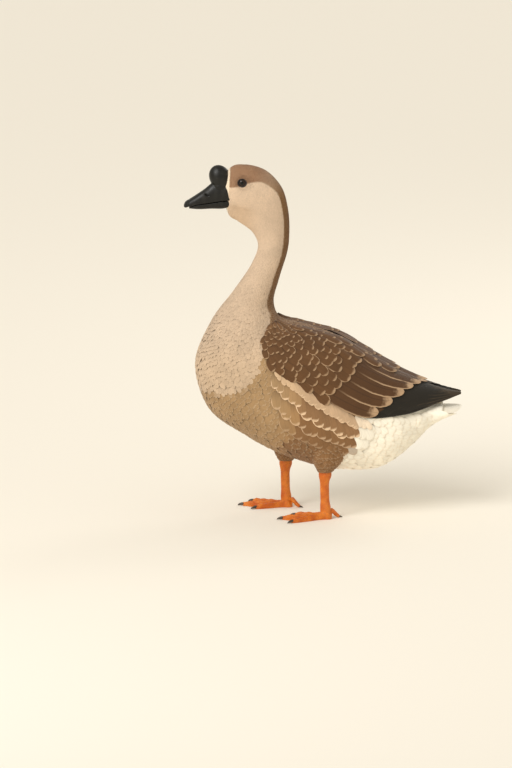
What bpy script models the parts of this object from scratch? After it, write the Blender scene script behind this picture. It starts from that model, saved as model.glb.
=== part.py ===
# A brown African gander standing at ease, life size, as a still museum model.
# It faces -Y, its left side is +X, and it stands on the plane z = 0.
# Metres throughout. The solids give the outline of the plumage, so fine feathers are left off.

import math

import bmesh
import bpy
import numpy as np
from mathutils import Matrix, Vector

# Driving dimensions
SPINE_STEPS = 3  # rings between two neighbouring stations of the body
SPINE_SIDES = 24  # points round each ring of the body
JOINT_GAP = 0.0003  # air between two neighbouring solids
LEG_SPREAD = 0.072  # each foot's distance from the middle plane
LEFT_FOOT_Y = 0.006  # the left ankle, under the hips
RIGHT_FOOT_Y = -0.092  # the right ankle, most of a foot's length ahead
EYE_RADIUS = 0.0120
EYE_CENTRE = (0.0208, -0.2020, 0.8450)
KNOB_CENTRE = (0.0, -0.2565, 0.8535)
KNOB_RADII = (0.0215, 0.0265, 0.0330)
KNOB_LEAN = math.radians(28)
HOCK_Z = 0.120  # where the feathered thigh ends and the bare shank starts
ANKLE_Z = 0.0215
TOE_RADIUS = 0.0082
WEB_TOP = 0.0032

# The body as stations from the face to the tail tip. Each is a slanting ring:
# its upper point (y, z), its lower point (y, z), its half width,
# how far up the widest level lies (0 low, 1 high) and how square it is (2 is an ellipse).
BODY = {
    "face": (-0.244, 0.866, -0.244, 0.797, 0.0155, 0.45, 2.2),
    "cheek": (-0.229, 0.880, -0.233, 0.781, 0.0250, 0.45, 2.2),
    "eyes": (-0.195, 0.886, -0.207, 0.771, 0.0325, 0.45, 2.2),
    "occiput": (-0.146, 0.873, -0.183, 0.758, 0.0335, 0.47, 2.1),
    "nape": (-0.107, 0.834, -0.166, 0.731, 0.0290, 0.50, 2.1),
    "upper_neck": (-0.089, 0.780, -0.161, 0.688, 0.0280, 0.50, 2.0),
    "mid_neck": (-0.086, 0.690, -0.177, 0.637, 0.0330, 0.50, 2.0),
    "lower_neck": (-0.109, 0.603, -0.223, 0.567, 0.0445, 0.50, 2.0),
    "neck_root": (-0.124, 0.540, -0.280, 0.488, 0.0640, 0.48, 2.0),
    "withers": (-0.107, 0.499, -0.319, 0.386, 0.0950, 0.47, 2.1),
    "shoulder": (-0.050, 0.482, -0.292, 0.281, 0.1180, 0.47, 2.15),
    "back": (0.028, 0.455, -0.195, 0.203, 0.1270, 0.47, 2.2),
    "loin": (0.107, 0.405, -0.075, 0.144, 0.1270, 0.47, 2.2),
    "hips": (0.163, 0.363, 0.043, 0.116, 0.1140, 0.48, 2.15),
    "rump": (0.212, 0.325, 0.150, 0.124, 0.0890, 0.50, 2.1),
    "tail_head": (0.255, 0.297, 0.223, 0.176, 0.0600, 0.55, 2.1),
    "tail_root": (0.285, 0.286, 0.270, 0.224, 0.0500, 0.65, 2.2),
    "tail_middle": (0.315, 0.281, 0.307, 0.248, 0.0600, 0.65, 2.4),
    "tail_tip": (0.3475, 0.273, 0.3475, 0.266, 0.0440, 0.50, 2.4),
}

# The folded wing lies on a wider form of the body's stations, drawn out to the wing tip.
# Each row adds, after the ring, where the wing's lower edge and upper edge lie on it,
# as angles in degrees up from the widest level, and how thick the wing is.
WING = {
    "wrist": (-0.112, 0.503, -0.310, 0.405, 0.0880, 0.47, 2.1, 48, 66, 0.020),
    "withers": (-0.102, 0.494, -0.317, 0.374, 0.0970, 0.47, 2.1, 34, 71, 0.024),
    "shoulder": (-0.050, 0.480, -0.292, 0.281, 0.1180, 0.47, 2.15, 16, 75, 0.028),
    "back": (0.028, 0.454, -0.195, 0.203, 0.1270, 0.47, 2.2, 12, 78, 0.030),
    "loin": (0.107, 0.405, -0.075, 0.144, 0.1270, 0.47, 2.2, 10, 80, 0.030),
    "hips": (0.163, 0.370, 0.043, 0.116, 0.1150, 0.48, 2.15, 9, 82, 0.028),
    "rump": (0.212, 0.346, 0.150, 0.124, 0.0920, 0.50, 2.1, 14, 83, 0.022),
    "tail_head": (0.262, 0.330, 0.235, 0.190, 0.0620, 0.55, 2.1, 8, 83, 0.012),
    "tail_root": (0.302, 0.320, 0.290, 0.245, 0.0370, 0.60, 2.1, 5, 80, 0.008),
    "wing_tip": (0.3460, 0.3125, 0.3450, 0.299, 0.0130, 0.60, 2.1, 0, 75, 0.006),
}
WING_STEPS = 2
WING_PROUD = 0.013  # how far the wing stands off the flank
WING_EDGE = 0.003  # how far its edges do
WING_ARC = 10  # points across the outside of the wing
PRIMARIES_CUT_LOW = (0.060, 0.240)  # (y, z) where the black flight feathers start on the lower edge
PRIMARIES_CUT_HIGH = (0.292, 0.330)  # and where they reach the upper edge

UPPER_BILL = {
    "root": (-0.2200, 0.8560, -0.2200, 0.7990, 0.0210, 0.20, 2.3),
    "base": (-0.2480, 0.8450, -0.2480, 0.7965, 0.0198, 0.18, 2.3),
    "nostril": (-0.2720, 0.8430, -0.2720, 0.7930, 0.0186, 0.16, 2.3),
    "bridge": (-0.2960, 0.8245, -0.2960, 0.7895, 0.0180, 0.15, 2.4),
    "spoon": (-0.3190, 0.8085, -0.3190, 0.7860, 0.0178, 0.15, 2.5),
    "nail": (-0.3360, 0.7975, -0.3360, 0.7815, 0.0152, 0.20, 2.4),
    "hook": (-0.3445, 0.7910, -0.3435, 0.7785, 0.0095, 0.30, 2.2),
    "tip": (-0.3475, 0.7845, -0.3470, 0.7790, 0.0040, 0.50, 2.0),
}
LOWER_BILL = {
    "root": (-0.2200, 0.7985, -0.2200, 0.7780, 0.0185, 0.85, 2.2),
    "base": (-0.2480, 0.7955, -0.2460, 0.7755, 0.0175, 0.85, 2.2),
    "middle": (-0.2830, 0.7905, -0.2810, 0.7750, 0.0164, 0.85, 2.2),
    "front": (-0.3160, 0.7855, -0.3150, 0.7740, 0.0152, 0.85, 2.2),
    "tip": (-0.3340, 0.7805, -0.3340, 0.7755, 0.0090, 0.80, 2.0),
}
DEWLAP = {
    "chin": (-0.238, 0.794, -0.245, 0.7760, 0.0100, 0.55, 2.0),
    "front": (-0.212, 0.804, -0.235, 0.7600, 0.0160, 0.45, 2.0),
    "middle": (-0.180, 0.790, -0.212, 0.7430, 0.0185, 0.42, 2.0),
    "back": (-0.155, 0.762, -0.192, 0.7280, 0.0175, 0.42, 2.0),
    "end": (-0.143, 0.730, -0.1755, 0.7120, 0.0140, 0.45, 2.0),
    "foot": (-0.138, 0.702, -0.1620, 0.6880, 0.0080, 0.50, 2.0),
}

# A leg from the hip down, as level rings: (shift towards the tail, z, half width, half depth).
THIGH = ((0.030, 0.255, 0.040, 0.052), (0.022, 0.205, 0.044, 0.056), (0.010, 0.162, 0.036, 0.045),
         (0.003, 0.137, 0.024, 0.030), (-0.001, HOCK_Z, 0.0140, 0.0170))
SHANK = ((-0.001, HOCK_Z, 0.0125, 0.0155), (-0.001, 0.110, 0.0130, 0.0160), (-0.002, 0.097, 0.0105, 0.0125),
         (-0.002, 0.070, 0.0092, 0.0115), (-0.001, 0.042, 0.0095, 0.0118), (0.000, 0.029, 0.0115, 0.0135),
         (0.000, ANKLE_Z, 0.0110, 0.0130))

# Toes as seen from above: angle out from straight ahead in degrees, and length to the claw.
TOES = {"inner": (-27, 0.083), "middle": (0, 0.110), "outer": (26, 0.100)}
FOOT_TURN = math.radians(6)  # each foot is turned out this far
HEEL_RADIUS = 0.0125  # the round back of the foot under the ankle
HEEL_BEHIND = 0.0040  # how far behind the ankle its middle lies
INSTEP_RADIUS = 0.0165  # the foot rises to the ankle within this distance of it
WEB_SCALLOP = 0.016  # how far each web's edge curves back between two toes
TOE_TAPER = 0.30  # the share of its radius that a toe loses along its length
CLAW_LENGTH = 0.012
CLAW_SHAPE = ((0, 0.0048, 0.0036), (0.35, 0.0046, 0.0030), (0.7, 0.0034, 0.0021), (1, 0.0016, 0.0007))
HIND_TOE = ((-0.004, 0.0140, 0.0230), (-0.006, 0.0200, 0.0175), (-0.008, 0.0270, 0.0100),
            (-0.010, 0.0340, 0.0046), (-0.0105, 0.0365, 0.0038), (-0.0115, 0.0440, 0.0016))
HIND_TOE_RADII = (0.0052, 0.0054, 0.0050, 0.0042, 0.0027, 0.0007)

COLOURS = {
    "cream": (0.68, 0.52, 0.34), "tan": (0.42, 0.28, 0.14), "brown": (0.15, 0.080, 0.030),
    "black": (0.020, 0.019, 0.015), "white": (0.90, 0.85, 0.75), "orange": (0.72, 0.21, 0.032),
    "horn": (0.10, 0.07, 0.05), "eye": (0.030, 0.014, 0.008),
}


def clear_scene():
    for obj in list(bpy.data.objects):
        bpy.data.objects.remove(obj, do_unlink=True)


def material(name, roughness):
    """A plain finish of one of the bird's colours, made once."""
    made = bpy.data.materials.get(name) or bpy.data.materials.new(name)
    made.use_nodes = True
    shader = made.node_tree.nodes["Principled BSDF"]
    shader.inputs["Base Color"].default_value = (*COLOURS[name], 1.0)
    shader.inputs["Roughness"].default_value = roughness
    shader.inputs["Metallic"].default_value = 0.0
    return made


def through(rows, steps):
    """Rows of numbers carried smoothly through the given rows, with steps spans between two."""
    rows = np.asarray(rows, float)
    spans = np.maximum(np.hypot(*(np.diff(rows[:, :2], axis=0) + np.diff(rows[:, 2:4], axis=0)).T), 1e-4)
    slopes = np.diff(rows, axis=0) / spans[:, None]
    before, after = spans[:-1, None], spans[1:, None]
    inner = (slopes[:-1] * after + slopes[1:] * before) / (before + after)
    slopes = np.vstack([slopes[:1], inner, slopes[-1:]])
    made = []
    for i, span in enumerate(spans):
        for t in np.arange(steps) / steps:
            a, b = rows[i], rows[i + 1]
            made.append(
                (2 * t**3 - 3 * t**2 + 1) * a + (t**3 - 2 * t**2 + t) * span * slopes[i]
                + (3 * t**2 - 2 * t**3) * b + (t**3 - t**2) * span * slopes[i + 1]
            )
    return np.array(made + [rows[-1]])


def ring_points(row, angles, grow=0.0):
    """Points on one slanting ring at the given angles up from its widest level on the +X side."""
    upper, lower = np.array(row[0:2]), np.array(row[2:4])
    rise = (upper - lower) / np.linalg.norm(upper - lower)
    upper, lower = upper + rise * grow, lower - rise * grow
    level = lower + (upper - lower) * row[5]
    width = row[4] + grow
    power = 2 / row[6]
    cosine, sine = np.cos(angles), np.sin(angles)
    out = np.sign(cosine) * np.abs(cosine) ** power * width
    reach = np.where(sine > 0, np.linalg.norm(upper - level), np.linalg.norm(level - lower))
    up = np.sign(sine) * np.abs(sine) ** power * reach
    return np.column_stack([out, level[0] + rise[0] * up, level[1] + rise[1] * up])


def lofted(name, rings, colour, roughness=0.6):
    """A closed solid through rings of points, with a flat cap at each end."""
    mesh = bmesh.new()
    loops = [[mesh.verts.new(point) for point in ring] for ring in rings]
    for first, second in zip(loops, loops[1:]):
        for a, b in zip(range(len(first)), list(range(1, len(first))) + [0]):
            mesh.faces.new((first[a], first[b], second[b], second[a]))
    mesh.faces.new(loops[0])
    mesh.faces.new(loops[-1][::-1])
    return solid(name, mesh, colour, roughness)


def solid(name, mesh, colour, roughness=0.6):
    """An object from a finished mesh, its faces turned outwards."""
    bmesh.ops.recalc_face_normals(mesh, faces=mesh.faces[:])
    if mesh.calc_volume(signed=True) < 0:
        bmesh.ops.reverse_faces(mesh, faces=mesh.faces[:])
    data = bpy.data.meshes.new(name)
    mesh.to_mesh(data)
    mesh.free()
    obj = bpy.data.objects.new(name, data)
    bpy.context.scene.collection.objects.link(obj)
    data.materials.append(material(colour, roughness))
    data.shade_smooth()
    data.set_sharp_from_angle(angle=math.radians(40))
    return obj


def cutter(obj):
    obj.hide_render = True
    obj.display_type = "WIRE"
    return obj


def boolean(obj, other, operation="DIFFERENCE"):
    step = obj.modifiers.new(f"{operation.lower()} {other.name}", "BOOLEAN")
    step.operation = operation
    step.solver = "EXACT"
    step.object = other


def full_turn(sides):
    return np.arange(sides) * 2 * math.pi / sides


def body_rows(first, last):
    """The smooth rows of the body from one named station to another."""
    names = list(BODY)
    start, end = (names.index(name) * SPINE_STEPS for name in (first, last))
    return through(list(BODY.values()), SPINE_STEPS)[start:end + 1]


def body_length(name, first, last, colour, grow=0.0):
    """One length of the body between two stations, drawn back half a gap at each end."""
    rows = body_rows(first, last)
    if not grow:
        for end, inward in ((0, 1), (-1, -2)):
            for point in (slice(0, 2), slice(2, 4)):
                step = rows[inward][point] - rows[end][point]
                rows[end][point] = rows[end][point] + step / max(np.linalg.norm(step), 1e-6) * JOINT_GAP
    angles = full_turn(SPINE_SIDES)
    return lofted(name, [ring_points(row, angles, grow) for row in rows], colour)


def body():
    """Head, neck, trunk and tail, and the slightly fatter copies that cut their neighbours."""
    head = body_length("head", "face", "nape", "cream")
    body_length("neck_upper", "nape", "mid_neck", "cream")
    body_length("neck_lower", "mid_neck", "neck_root", "cream")
    body_length("trunk", "neck_root", "tail_head", "tan")
    body_length("tail", "tail_head", "tail_tip", "white")
    front = cutter(body_length("head_cutter", "face", "mid_neck", "cream", grow=JOINT_GAP))
    rear = cutter(body_length("trunk_cutter", "neck_root", "tail_tip", "tan", grow=2 * JOINT_GAP))
    return head, front, rear


def ellipsoid(name, centre, radii, lean, colour, roughness, segments=18, rings=12):
    """A ball stretched along its own axes and leant forward about X."""
    mesh = bmesh.new()
    bmesh.ops.create_uvsphere(mesh, u_segments=segments, v_segments=rings, radius=1.0)
    place = Matrix.Translation(centre) @ Matrix.Rotation(lean, 4, "X") @ Matrix.Diagonal((*radii, 1))
    bmesh.ops.transform(mesh, matrix=place, verts=mesh.verts[:])
    return solid(name, mesh, colour, roughness)


def simple_loft(name, stations, sides, steps, colour, roughness, grow=0.0):
    rows = through(list(stations.values()), steps)
    return lofted(name, [ring_points(row, full_turn(sides), grow) for row in rows], colour, roughness)


def bill_and_knob(head_cutter):
    upper = simple_loft("bill_upper", UPPER_BILL, 16, 2, "black", 0.45)
    lower = simple_loft("bill_lower", LOWER_BILL, 14, 2, "black", 0.45)
    knob = ellipsoid("knob", KNOB_CENTRE, KNOB_RADII, KNOB_LEAN, "black", 0.45)
    upper_cutter = cutter(simple_loft("bill_cutter", UPPER_BILL, 16, 2, "black", 0.45, grow=JOINT_GAP))
    boolean(upper, head_cutter)
    boolean(lower, head_cutter)
    boolean(lower, upper_cutter)
    boolean(knob, head_cutter)
    boolean(knob, upper_cutter)


def dewlap(head_cutter):
    """The smooth crescent of skin from the lower jaw to the front of the neck."""
    fold = simple_loft("dewlap", DEWLAP, 14, 2, "cream", 0.6)
    jaw = cutter(simple_loft("jaw_cutter", LOWER_BILL, 14, 2, "black", 0.45, grow=JOINT_GAP))
    boolean(fold, head_cutter)
    boolean(fold, jaw)


def eyes(head):
    """Two balls, each in a round socket of the head."""
    for side, sign in (("left", 1), ("right", -1)):
        centre = (sign * EYE_CENTRE[0], *EYE_CENTRE[1:])
        ellipsoid(f"eye_{side}", centre, (EYE_RADIUS,) * 3, 0, "eye", 0.1, 14, 8)
        socket = ellipsoid(f"socket_{side}", centre, (EYE_RADIUS + JOINT_GAP,) * 3, 0, "eye", 0.1, 14, 8)
        boolean(head, cutter(socket))


def wing_ring(row, sign):
    """One ring of the folded wing: an outer arc that swells between its edges, and an inner arc."""
    across = np.linspace(0, 1, WING_ARC)
    angles = np.radians(row[7] + (row[8] - row[7]) * across)
    proud = WING_EDGE + (WING_PROUD - WING_EDGE) * np.sqrt(1 - np.abs(2 * across - 1) ** 3)
    proud *= np.clip(row[9] / WING["withers"][9], 0.25, 1)
    outer = np.array([ring_points(row, np.array([a]), grow=p)[0] for a, p in zip(angles, proud)])
    depth = min(row[9], 0.4 * row[4], 0.3 * np.hypot(row[0] - row[2], row[1] - row[3]))
    inner = np.array([ring_points(row, np.array([a]), grow=-depth)[0] for a in angles[::-3]])
    ring = np.vstack([outer, inner])
    ring[:, 0] = np.maximum(ring[:, 0], JOINT_GAP) * sign
    return ring


def half_space(name, low, high, ahead):
    """A large block whose flat side holds the slanting line from low to high, on one side of it."""
    along = Vector((0, high[0] - low[0], high[1] - low[1])).normalized()
    out = Vector((0, along.z, -along.y)) * (-1 if ahead else 1)
    size = 1.2
    mesh = bmesh.new()
    bmesh.ops.create_cube(mesh, size=size)
    turn = Matrix((Vector((1, 0, 0)), along, out)).transposed().to_4x4()
    middle = Vector((0, *low)) + out * (size / 2 - JOINT_GAP / 2)
    bmesh.ops.transform(mesh, matrix=Matrix.Translation(middle) @ turn, verts=mesh.verts[:])
    return cutter(solid(name, mesh, "black"))


def wings(trunk_cutter):
    """Each wing in two nodes, the coverts with the arm, and the black flight feathers behind."""
    keep_front = half_space("cut_behind", PRIMARIES_CUT_LOW, PRIMARIES_CUT_HIGH, False)
    keep_back = half_space("cut_ahead", PRIMARIES_CUT_LOW, PRIMARIES_CUT_HIGH, True)
    rows = through(list(WING.values()), WING_STEPS)
    for side, sign in (("left", 1), ("right", -1)):
        rings = [wing_ring(row, sign) for row in rows]
        for name, colour, cut in (("wing", "brown", keep_front), ("primaries", "black", keep_back)):
            piece = lofted(f"{name}_{side}", rings, colour)
            boolean(piece, cut)
            boolean(piece, trunk_cutter)


def level_ring(x, y, row, sides):
    angles = full_turn(sides)
    return np.column_stack([
        x + row[2] * np.cos(angles), y + row[0] + row[3] * np.sin(angles), np.full(sides, row[1])
    ])


def leg_length(name, x, y, rows, sides, steps, colour, gap_ends):
    """A length of the leg through level rings, shortened by half a gap where it meets the next one."""
    rows = through([(row[0], row[1], row[0], row[1], row[2], row[3]) for row in rows], steps)
    rows = rows[:, [0, 1, 4, 5]]
    for end in gap_ends:
        rows[end, 1] += JOINT_GAP / 2 * (1 if end else -1)
    return lofted(name, [level_ring(x, y, row, sides) for row in rows], colour, 0.5)


def smooth_step(value):
    value = np.clip(value, 0, 1)
    return value * value * (3 - 2 * value)


def foot(name, x, y, mirror):
    """A webbed foot: lines run from the heel along the toes and webs, raised over each toe."""
    lines = []
    toes = list(TOES.values())
    for i, (angle, length) in enumerate(toes):
        lines += [(angle, length, side) for side in (-1, -0.6, 0, 0.6, 1)]
        if i + 1 < len(toes):
            next_angle, next_length = toes[i + 1]
            for t in (0.25, 0.5, 0.75):
                reach = length + (next_length - length) * t - WEB_SCALLOP * math.sin(math.pi * t)
                lines.append((angle + (next_angle - angle) * t, reach, None))
    along = np.array([0, 0.05, 0.12, 0.21, 0.33, 0.48, 0.66, 0.84, 0.95, 1.0])
    middle = np.radians(np.linspace(-100, 100, len(lines)))
    heel = np.column_stack([HEEL_RADIUS * np.sin(middle), HEEL_BEHIND + HEEL_RADIUS * np.cos(middle)])
    tops = []
    for (angle, length, side), start in zip(lines, heel):
        turn = math.radians(angle)
        toe = side is not None
        radius = TOE_RADIUS * (1 - TOE_TAPER * along) * np.where(along > 0.9, 0.80, 1)
        offset = (side or 0) * radius * np.minimum(1, along / 0.45)
        shorter = 1 - 0.05 * abs(side or 0) ** 2
        route = np.column_stack([
            along * length * shorter * math.sin(turn) + offset * math.cos(turn),
            -along * length * shorter * math.cos(turn) + offset * math.sin(turn),
        ])
        blend = smooth_step(along / 0.42)[:, None]
        flat = start * (1 - blend) + route * blend
        ridge = radius * (1 + math.sqrt(1 - min(abs(side), 1) ** 2)) if toe and abs(side) < 1 else 0
        height = np.maximum(WEB_TOP, ridge)
        instep = ANKLE_Z * np.exp(-((np.hypot(flat[:, 0], flat[:, 1] + 0.001) / INSTEP_RADIUS) ** 4))
        height = np.maximum(height, np.minimum(instep, ANKLE_Z - JOINT_GAP))
        height[0] = 0.008
        tops.append(np.column_stack([flat, height]))
    tops = np.array(tops)
    turn = Matrix.Rotation(FOOT_TURN, 3, "Z")
    to_place = Matrix.Translation((x, y, 0)) @ Matrix.Diagonal((mirror, 1, 1, 1)) @ turn.to_4x4()
    mesh = bmesh.new()
    grid = [[mesh.verts.new(to_place @ Vector(point)) for point in line] for line in tops]
    for first, second in zip(grid, grid[1:]):
        for a in range(len(along) - 1):
            mesh.faces.new((first[a], first[a + 1], second[a + 1], second[a]))
    last = len(along) - 1
    rim = [line[0] for line in grid] + grid[-1][1:]
    rim += [line[last] for line in grid[-2::-1]] + grid[0][last - 1:0:-1]
    sole = [mesh.verts.new((vert.co.x, vert.co.y, 0)) for vert in rim]
    for a in range(len(rim)):
        mesh.faces.new((rim[a - 1], rim[a], sole[a], sole[a - 1]))
    mesh.faces.new(sole)
    return solid(name, mesh, "orange", 0.5), turn


def tapered(name, points, radii, sides, colour):
    """A short tapered limb through points, its underside flat on the floor."""
    rings = []
    for i, (point, radius) in enumerate(zip(points, radii)):
        along = (points[min(i + 1, len(points) - 1)] - points[max(i - 1, 0)]).normalized()
        across = along.cross(Vector((0, 0, 1))).normalized()
        up = across.cross(along).normalized()
        ring = [point + (across * math.cos(a) + up * math.sin(a)) * radius for a in full_turn(sides)]
        rings.append([Vector((p.x, p.y, max(p.z, 0.0))) for p in ring])
    return lofted(name, rings, colour, 0.5)


def toes_and_claws(side, x, y, mirror, turn):
    """The claws of the three front toes, and the small hind toe behind the ankle with its own claw."""
    def place(across, ahead, height):
        flat = turn @ Vector((across, ahead, height))
        return Vector((x + mirror * flat.x, y + flat.y, flat.z))

    for toe, (angle, length) in TOES.items():
        a = math.radians(angle)
        points = []
        for reach, height, _ in CLAW_SHAPE:
            distance = length + JOINT_GAP + reach * CLAW_LENGTH
            points.append(place(distance * math.sin(a), -distance * math.cos(a), height))
        tapered(f"claw_{side}_{toe}", points, [row[2] for row in CLAW_SHAPE], 6, "horn")
    points = [place(*point) for point in HIND_TOE]
    return tapered(f"hind_toe_{side}", points, HIND_TOE_RADII, 10, "orange")


def legs(trunk_cutter):
    """Feathered thighs, bare shanks, webbed feet, hind toes and claws."""
    for side, mirror, y in (("left", 1, LEFT_FOOT_Y), ("right", -1, RIGHT_FOOT_Y)):
        x = mirror * LEG_SPREAD
        thigh = leg_length(f"thigh_{side}", x, y, THIGH, 16, 3, "brown", (-1,))
        boolean(thigh, trunk_cutter)
        leg_length(f"shank_{side}", x, y, SHANK, 12, 1, "orange", (0, -1))
        shank_cut = cutter(leg_length(
            f"shank_cutter_{side}", x, y, [(a, b, c + JOINT_GAP, d + JOINT_GAP) for a, b, c, d in SHANK],
            12, 1, "orange", ()))
        made, turn = foot(f"foot_{side}", x, y, mirror)
        toe = toes_and_claws(side, x, y, mirror, turn)
        foot_cut = cutter(foot(f"foot_cutter_{side}", x, y, mirror)[0])
        grow = foot_cut.modifiers.new("grow", "DISPLACE")
        grow.strength = 2 * JOINT_GAP
        grow.mid_level = 0.0
        boolean(toe, shank_cut)
        boolean(toe, foot_cut)


clear_scene()
head, head_cutter, trunk_cutter = body()
bill_and_knob(head_cutter)
dewlap(head_cutter)
eyes(head)
wings(trunk_cutter)
legs(trunk_cutter)
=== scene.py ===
# A brown African gander standing at ease, as a life-size museum model.
# It faces -Y, its left side is +X, and it stands on z = 0. Metres throughout.
import math

import bpy
import numpy as np
from mathutils import Matrix


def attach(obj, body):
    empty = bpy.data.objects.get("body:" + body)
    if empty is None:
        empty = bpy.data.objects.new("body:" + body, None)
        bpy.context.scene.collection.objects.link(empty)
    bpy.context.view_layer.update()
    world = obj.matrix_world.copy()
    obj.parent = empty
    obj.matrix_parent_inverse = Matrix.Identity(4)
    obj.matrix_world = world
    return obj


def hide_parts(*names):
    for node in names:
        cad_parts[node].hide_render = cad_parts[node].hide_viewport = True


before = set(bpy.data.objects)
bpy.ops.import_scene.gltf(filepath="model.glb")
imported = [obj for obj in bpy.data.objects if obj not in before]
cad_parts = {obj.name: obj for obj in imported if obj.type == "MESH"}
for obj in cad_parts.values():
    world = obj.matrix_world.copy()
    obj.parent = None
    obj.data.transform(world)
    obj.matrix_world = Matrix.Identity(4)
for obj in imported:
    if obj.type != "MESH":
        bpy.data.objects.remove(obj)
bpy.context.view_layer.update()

# Skin
# The bare body under the plumage: head, neck, dewlap, trunk, stern, thighs, scaly shanks and webbed feet
# in one closed surface. It lies inside the outline by the depth of the coat, and makes the eyelids.

# Slanting rings from the face to the tail tip, as in the solids: upper point (y, z), lower point (y, z),
# half width, how far up the widest level lies, squareness (2 is an ellipse), and how far the dewlap
# hangs forward and down from the lower point (y, z).
BODY = {
    "face": (-0.244, 0.866, -0.244, 0.797, 0.0155, 0.45, 2.2, 0.000, -0.014),
    "cheek": (-0.229, 0.880, -0.233, 0.781, 0.0250, 0.45, 2.2, -0.003, -0.019),
    "eyes": (-0.195, 0.886, -0.207, 0.771, 0.0325, 0.45, 2.2, -0.007, -0.026),
    "occiput": (-0.146, 0.873, -0.183, 0.758, 0.0335, 0.47, 2.1, -0.011, -0.027),
    "nape": (-0.107, 0.834, -0.166, 0.731, 0.0290, 0.50, 2.1, -0.010, -0.015),
    "upper_neck": (-0.089, 0.780, -0.161, 0.688, 0.0280, 0.50, 2.0, -0.001, -0.002),
    "mid_neck": (-0.086, 0.690, -0.177, 0.637, 0.0330, 0.50, 2.0, 0, 0),
    "lower_neck": (-0.109, 0.603, -0.223, 0.567, 0.0445, 0.50, 2.0, 0, 0),
    "neck_root": (-0.124, 0.540, -0.280, 0.488, 0.0640, 0.48, 2.0, 0, 0),
    "withers": (-0.107, 0.499, -0.319, 0.386, 0.0950, 0.47, 2.1, 0, 0),
    "shoulder": (-0.050, 0.482, -0.292, 0.281, 0.1180, 0.47, 2.15, 0, 0),
    "back": (0.028, 0.455, -0.195, 0.203, 0.1270, 0.47, 2.2, 0, 0),
    "loin": (0.107, 0.405, -0.075, 0.144, 0.1270, 0.47, 2.2, 0, 0),
    "hips": (0.163, 0.363, 0.043, 0.116, 0.1140, 0.48, 2.15, 0, 0),
    "rump": (0.212, 0.325, 0.150, 0.124, 0.0890, 0.50, 2.1, 0, 0),
    "tail_head": (0.255, 0.297, 0.223, 0.176, 0.0600, 0.55, 2.1, 0, 0),
    "tail_root": (0.285, 0.286, 0.270, 0.224, 0.0500, 0.65, 2.2, 0, 0),
    "tail_middle": (0.315, 0.281, 0.307, 0.248, 0.0600, 0.65, 2.4, 0, 0),
    "tail_tip": (0.3475, 0.273, 0.3475, 0.266, 0.0440, 0.50, 2.4, 0, 0),
}
RING = {name: number for number, name in enumerate(BODY)}  # a ring's number, counted from the face
RING_STEPS = 16
DEWLAP_SPREAD = math.radians(27)  # how far round the throat the dewlap's fold reaches
COAT_RINGS = (0, 2, 4, 7, 9, 12, 15, 16, 17)  # ring numbers at which the coat's depth is known
COAT_DEPTHS = (0.0010, 0.0012, 0.0018, 0.0026, 0.0038, 0.0044, 0.0038, 0.0030, 0.0028)
SKIN_SIDES = 148
SKIN_END = 16.6  # the fleshy tail ends here, and feathers go on to the tip
SKIN_FINE = 0.00065  # distance between rings of the mesh beside the eyes
SKIN_COARSE = ((0, 3.5, 5, 8, 17), (0.0017, 0.0022, 0.0036, 0.0050, 0.0060))

EYE_CENTRE = np.array((0.0208, -0.2020, 0.8450))
EYE_RADIUS = 0.0120
LID_HALF_LENGTH = 0.0096
LID_HALF_HEIGHT = 0.0088
LID_RISE = 0.0009
LID_CREASE = 0.0005
SOCKET_SINK = 0.0016  # how far under the eyeball's surface the opened skin ends

LEG_SPREAD = 0.072
FOOT_Y = {"left": 0.006, "right": -0.092}
SIDES = (("left", 1), ("right", -1))
HOCK_Z = 0.120
ANKLE_Z = 0.0215
TOE_RADIUS = 0.0082
HEEL_RADIUS = 0.0125
INSTEP_RADIUS = 0.0165
TOE_JOINT = 0.022  # from one swollen joint to the next along a toe
WEB_TOP = 0.0032
WEB_SCALLOP = 0.016  # how far a web's edge curves in between two toes
TOES = {"inner": (-27, 0.083), "middle": (0, 0.110), "outer": (26, 0.100)}
FOOT_TURN = math.radians(6)
# Level rings of the leg: rearward shift, height, half width, half depth
THIGH = ((0.030, 0.255, 0.040, 0.052), (0.022, 0.205, 0.044, 0.056), (0.010, 0.162, 0.036, 0.045),
         (0.003, 0.137, 0.024, 0.030), (-0.001, HOCK_Z, 0.0140, 0.0170))
THIGH_COAT = 0.0035
SHANK = ((-0.001, 0.128, 0.0120, 0.0150), (-0.001, 0.110, 0.0130, 0.0160), (-0.002, 0.097, 0.0105, 0.0125),
         (-0.002, 0.070, 0.0092, 0.0115), (-0.001, 0.042, 0.0095, 0.0118), (0.000, 0.029, 0.0115, 0.0135),
         (0.000, 0.012, 0.0105, 0.0125))
HIND_TOE = ((-0.004, 0.0140, 0.0230), (-0.006, 0.0200, 0.0175), (-0.008, 0.0270, 0.0100),
            (-0.010, 0.0340, 0.0046), (-0.0105, 0.0365, 0.0038))
HIND_TOE_RADII = (0.0052, 0.0054, 0.0050, 0.0042, 0.0030)
LEG_VOXEL = 0.0014
SHANK_SCUTE = 0.0052  # from one broad scale to the next down a shank, and along a toe
TOE_SCUTE = 0.0042
SOLE = 0.0002  # height of the flats under the feet, just clear of the floor's own surface

# Plumage colours, as red, green and blue from 0 to 255
CAP = (148, 111, 82)
STRIPE = (118, 82, 44)
BAND = (240, 222, 196)
CHEEK = (216, 190, 163)
# Painted shade under the jaw, not a colour of the plumage itself
JAW_PAINTED_SHADE = (196, 166, 134)
NECK = (202, 177, 151)
BREAST = (196, 170, 141)
BELLY = (166, 134, 95)
FLANK = (160, 124, 83)
THIGH_BROWN = (136, 99, 62)
WHITE = (254, 247, 230)
WING_FRONT = (124, 89, 56)
WING_BROWN = (98, 66, 36)
WING_REAR = (87, 57, 30)
FLIGHT_BLACK = (34, 29, 20)
LID_DARK = (42, 33, 28)
VIEW_TILT = math.radians(11.5)  # the markings' borders are told as seen from this far above the horizon


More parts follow.
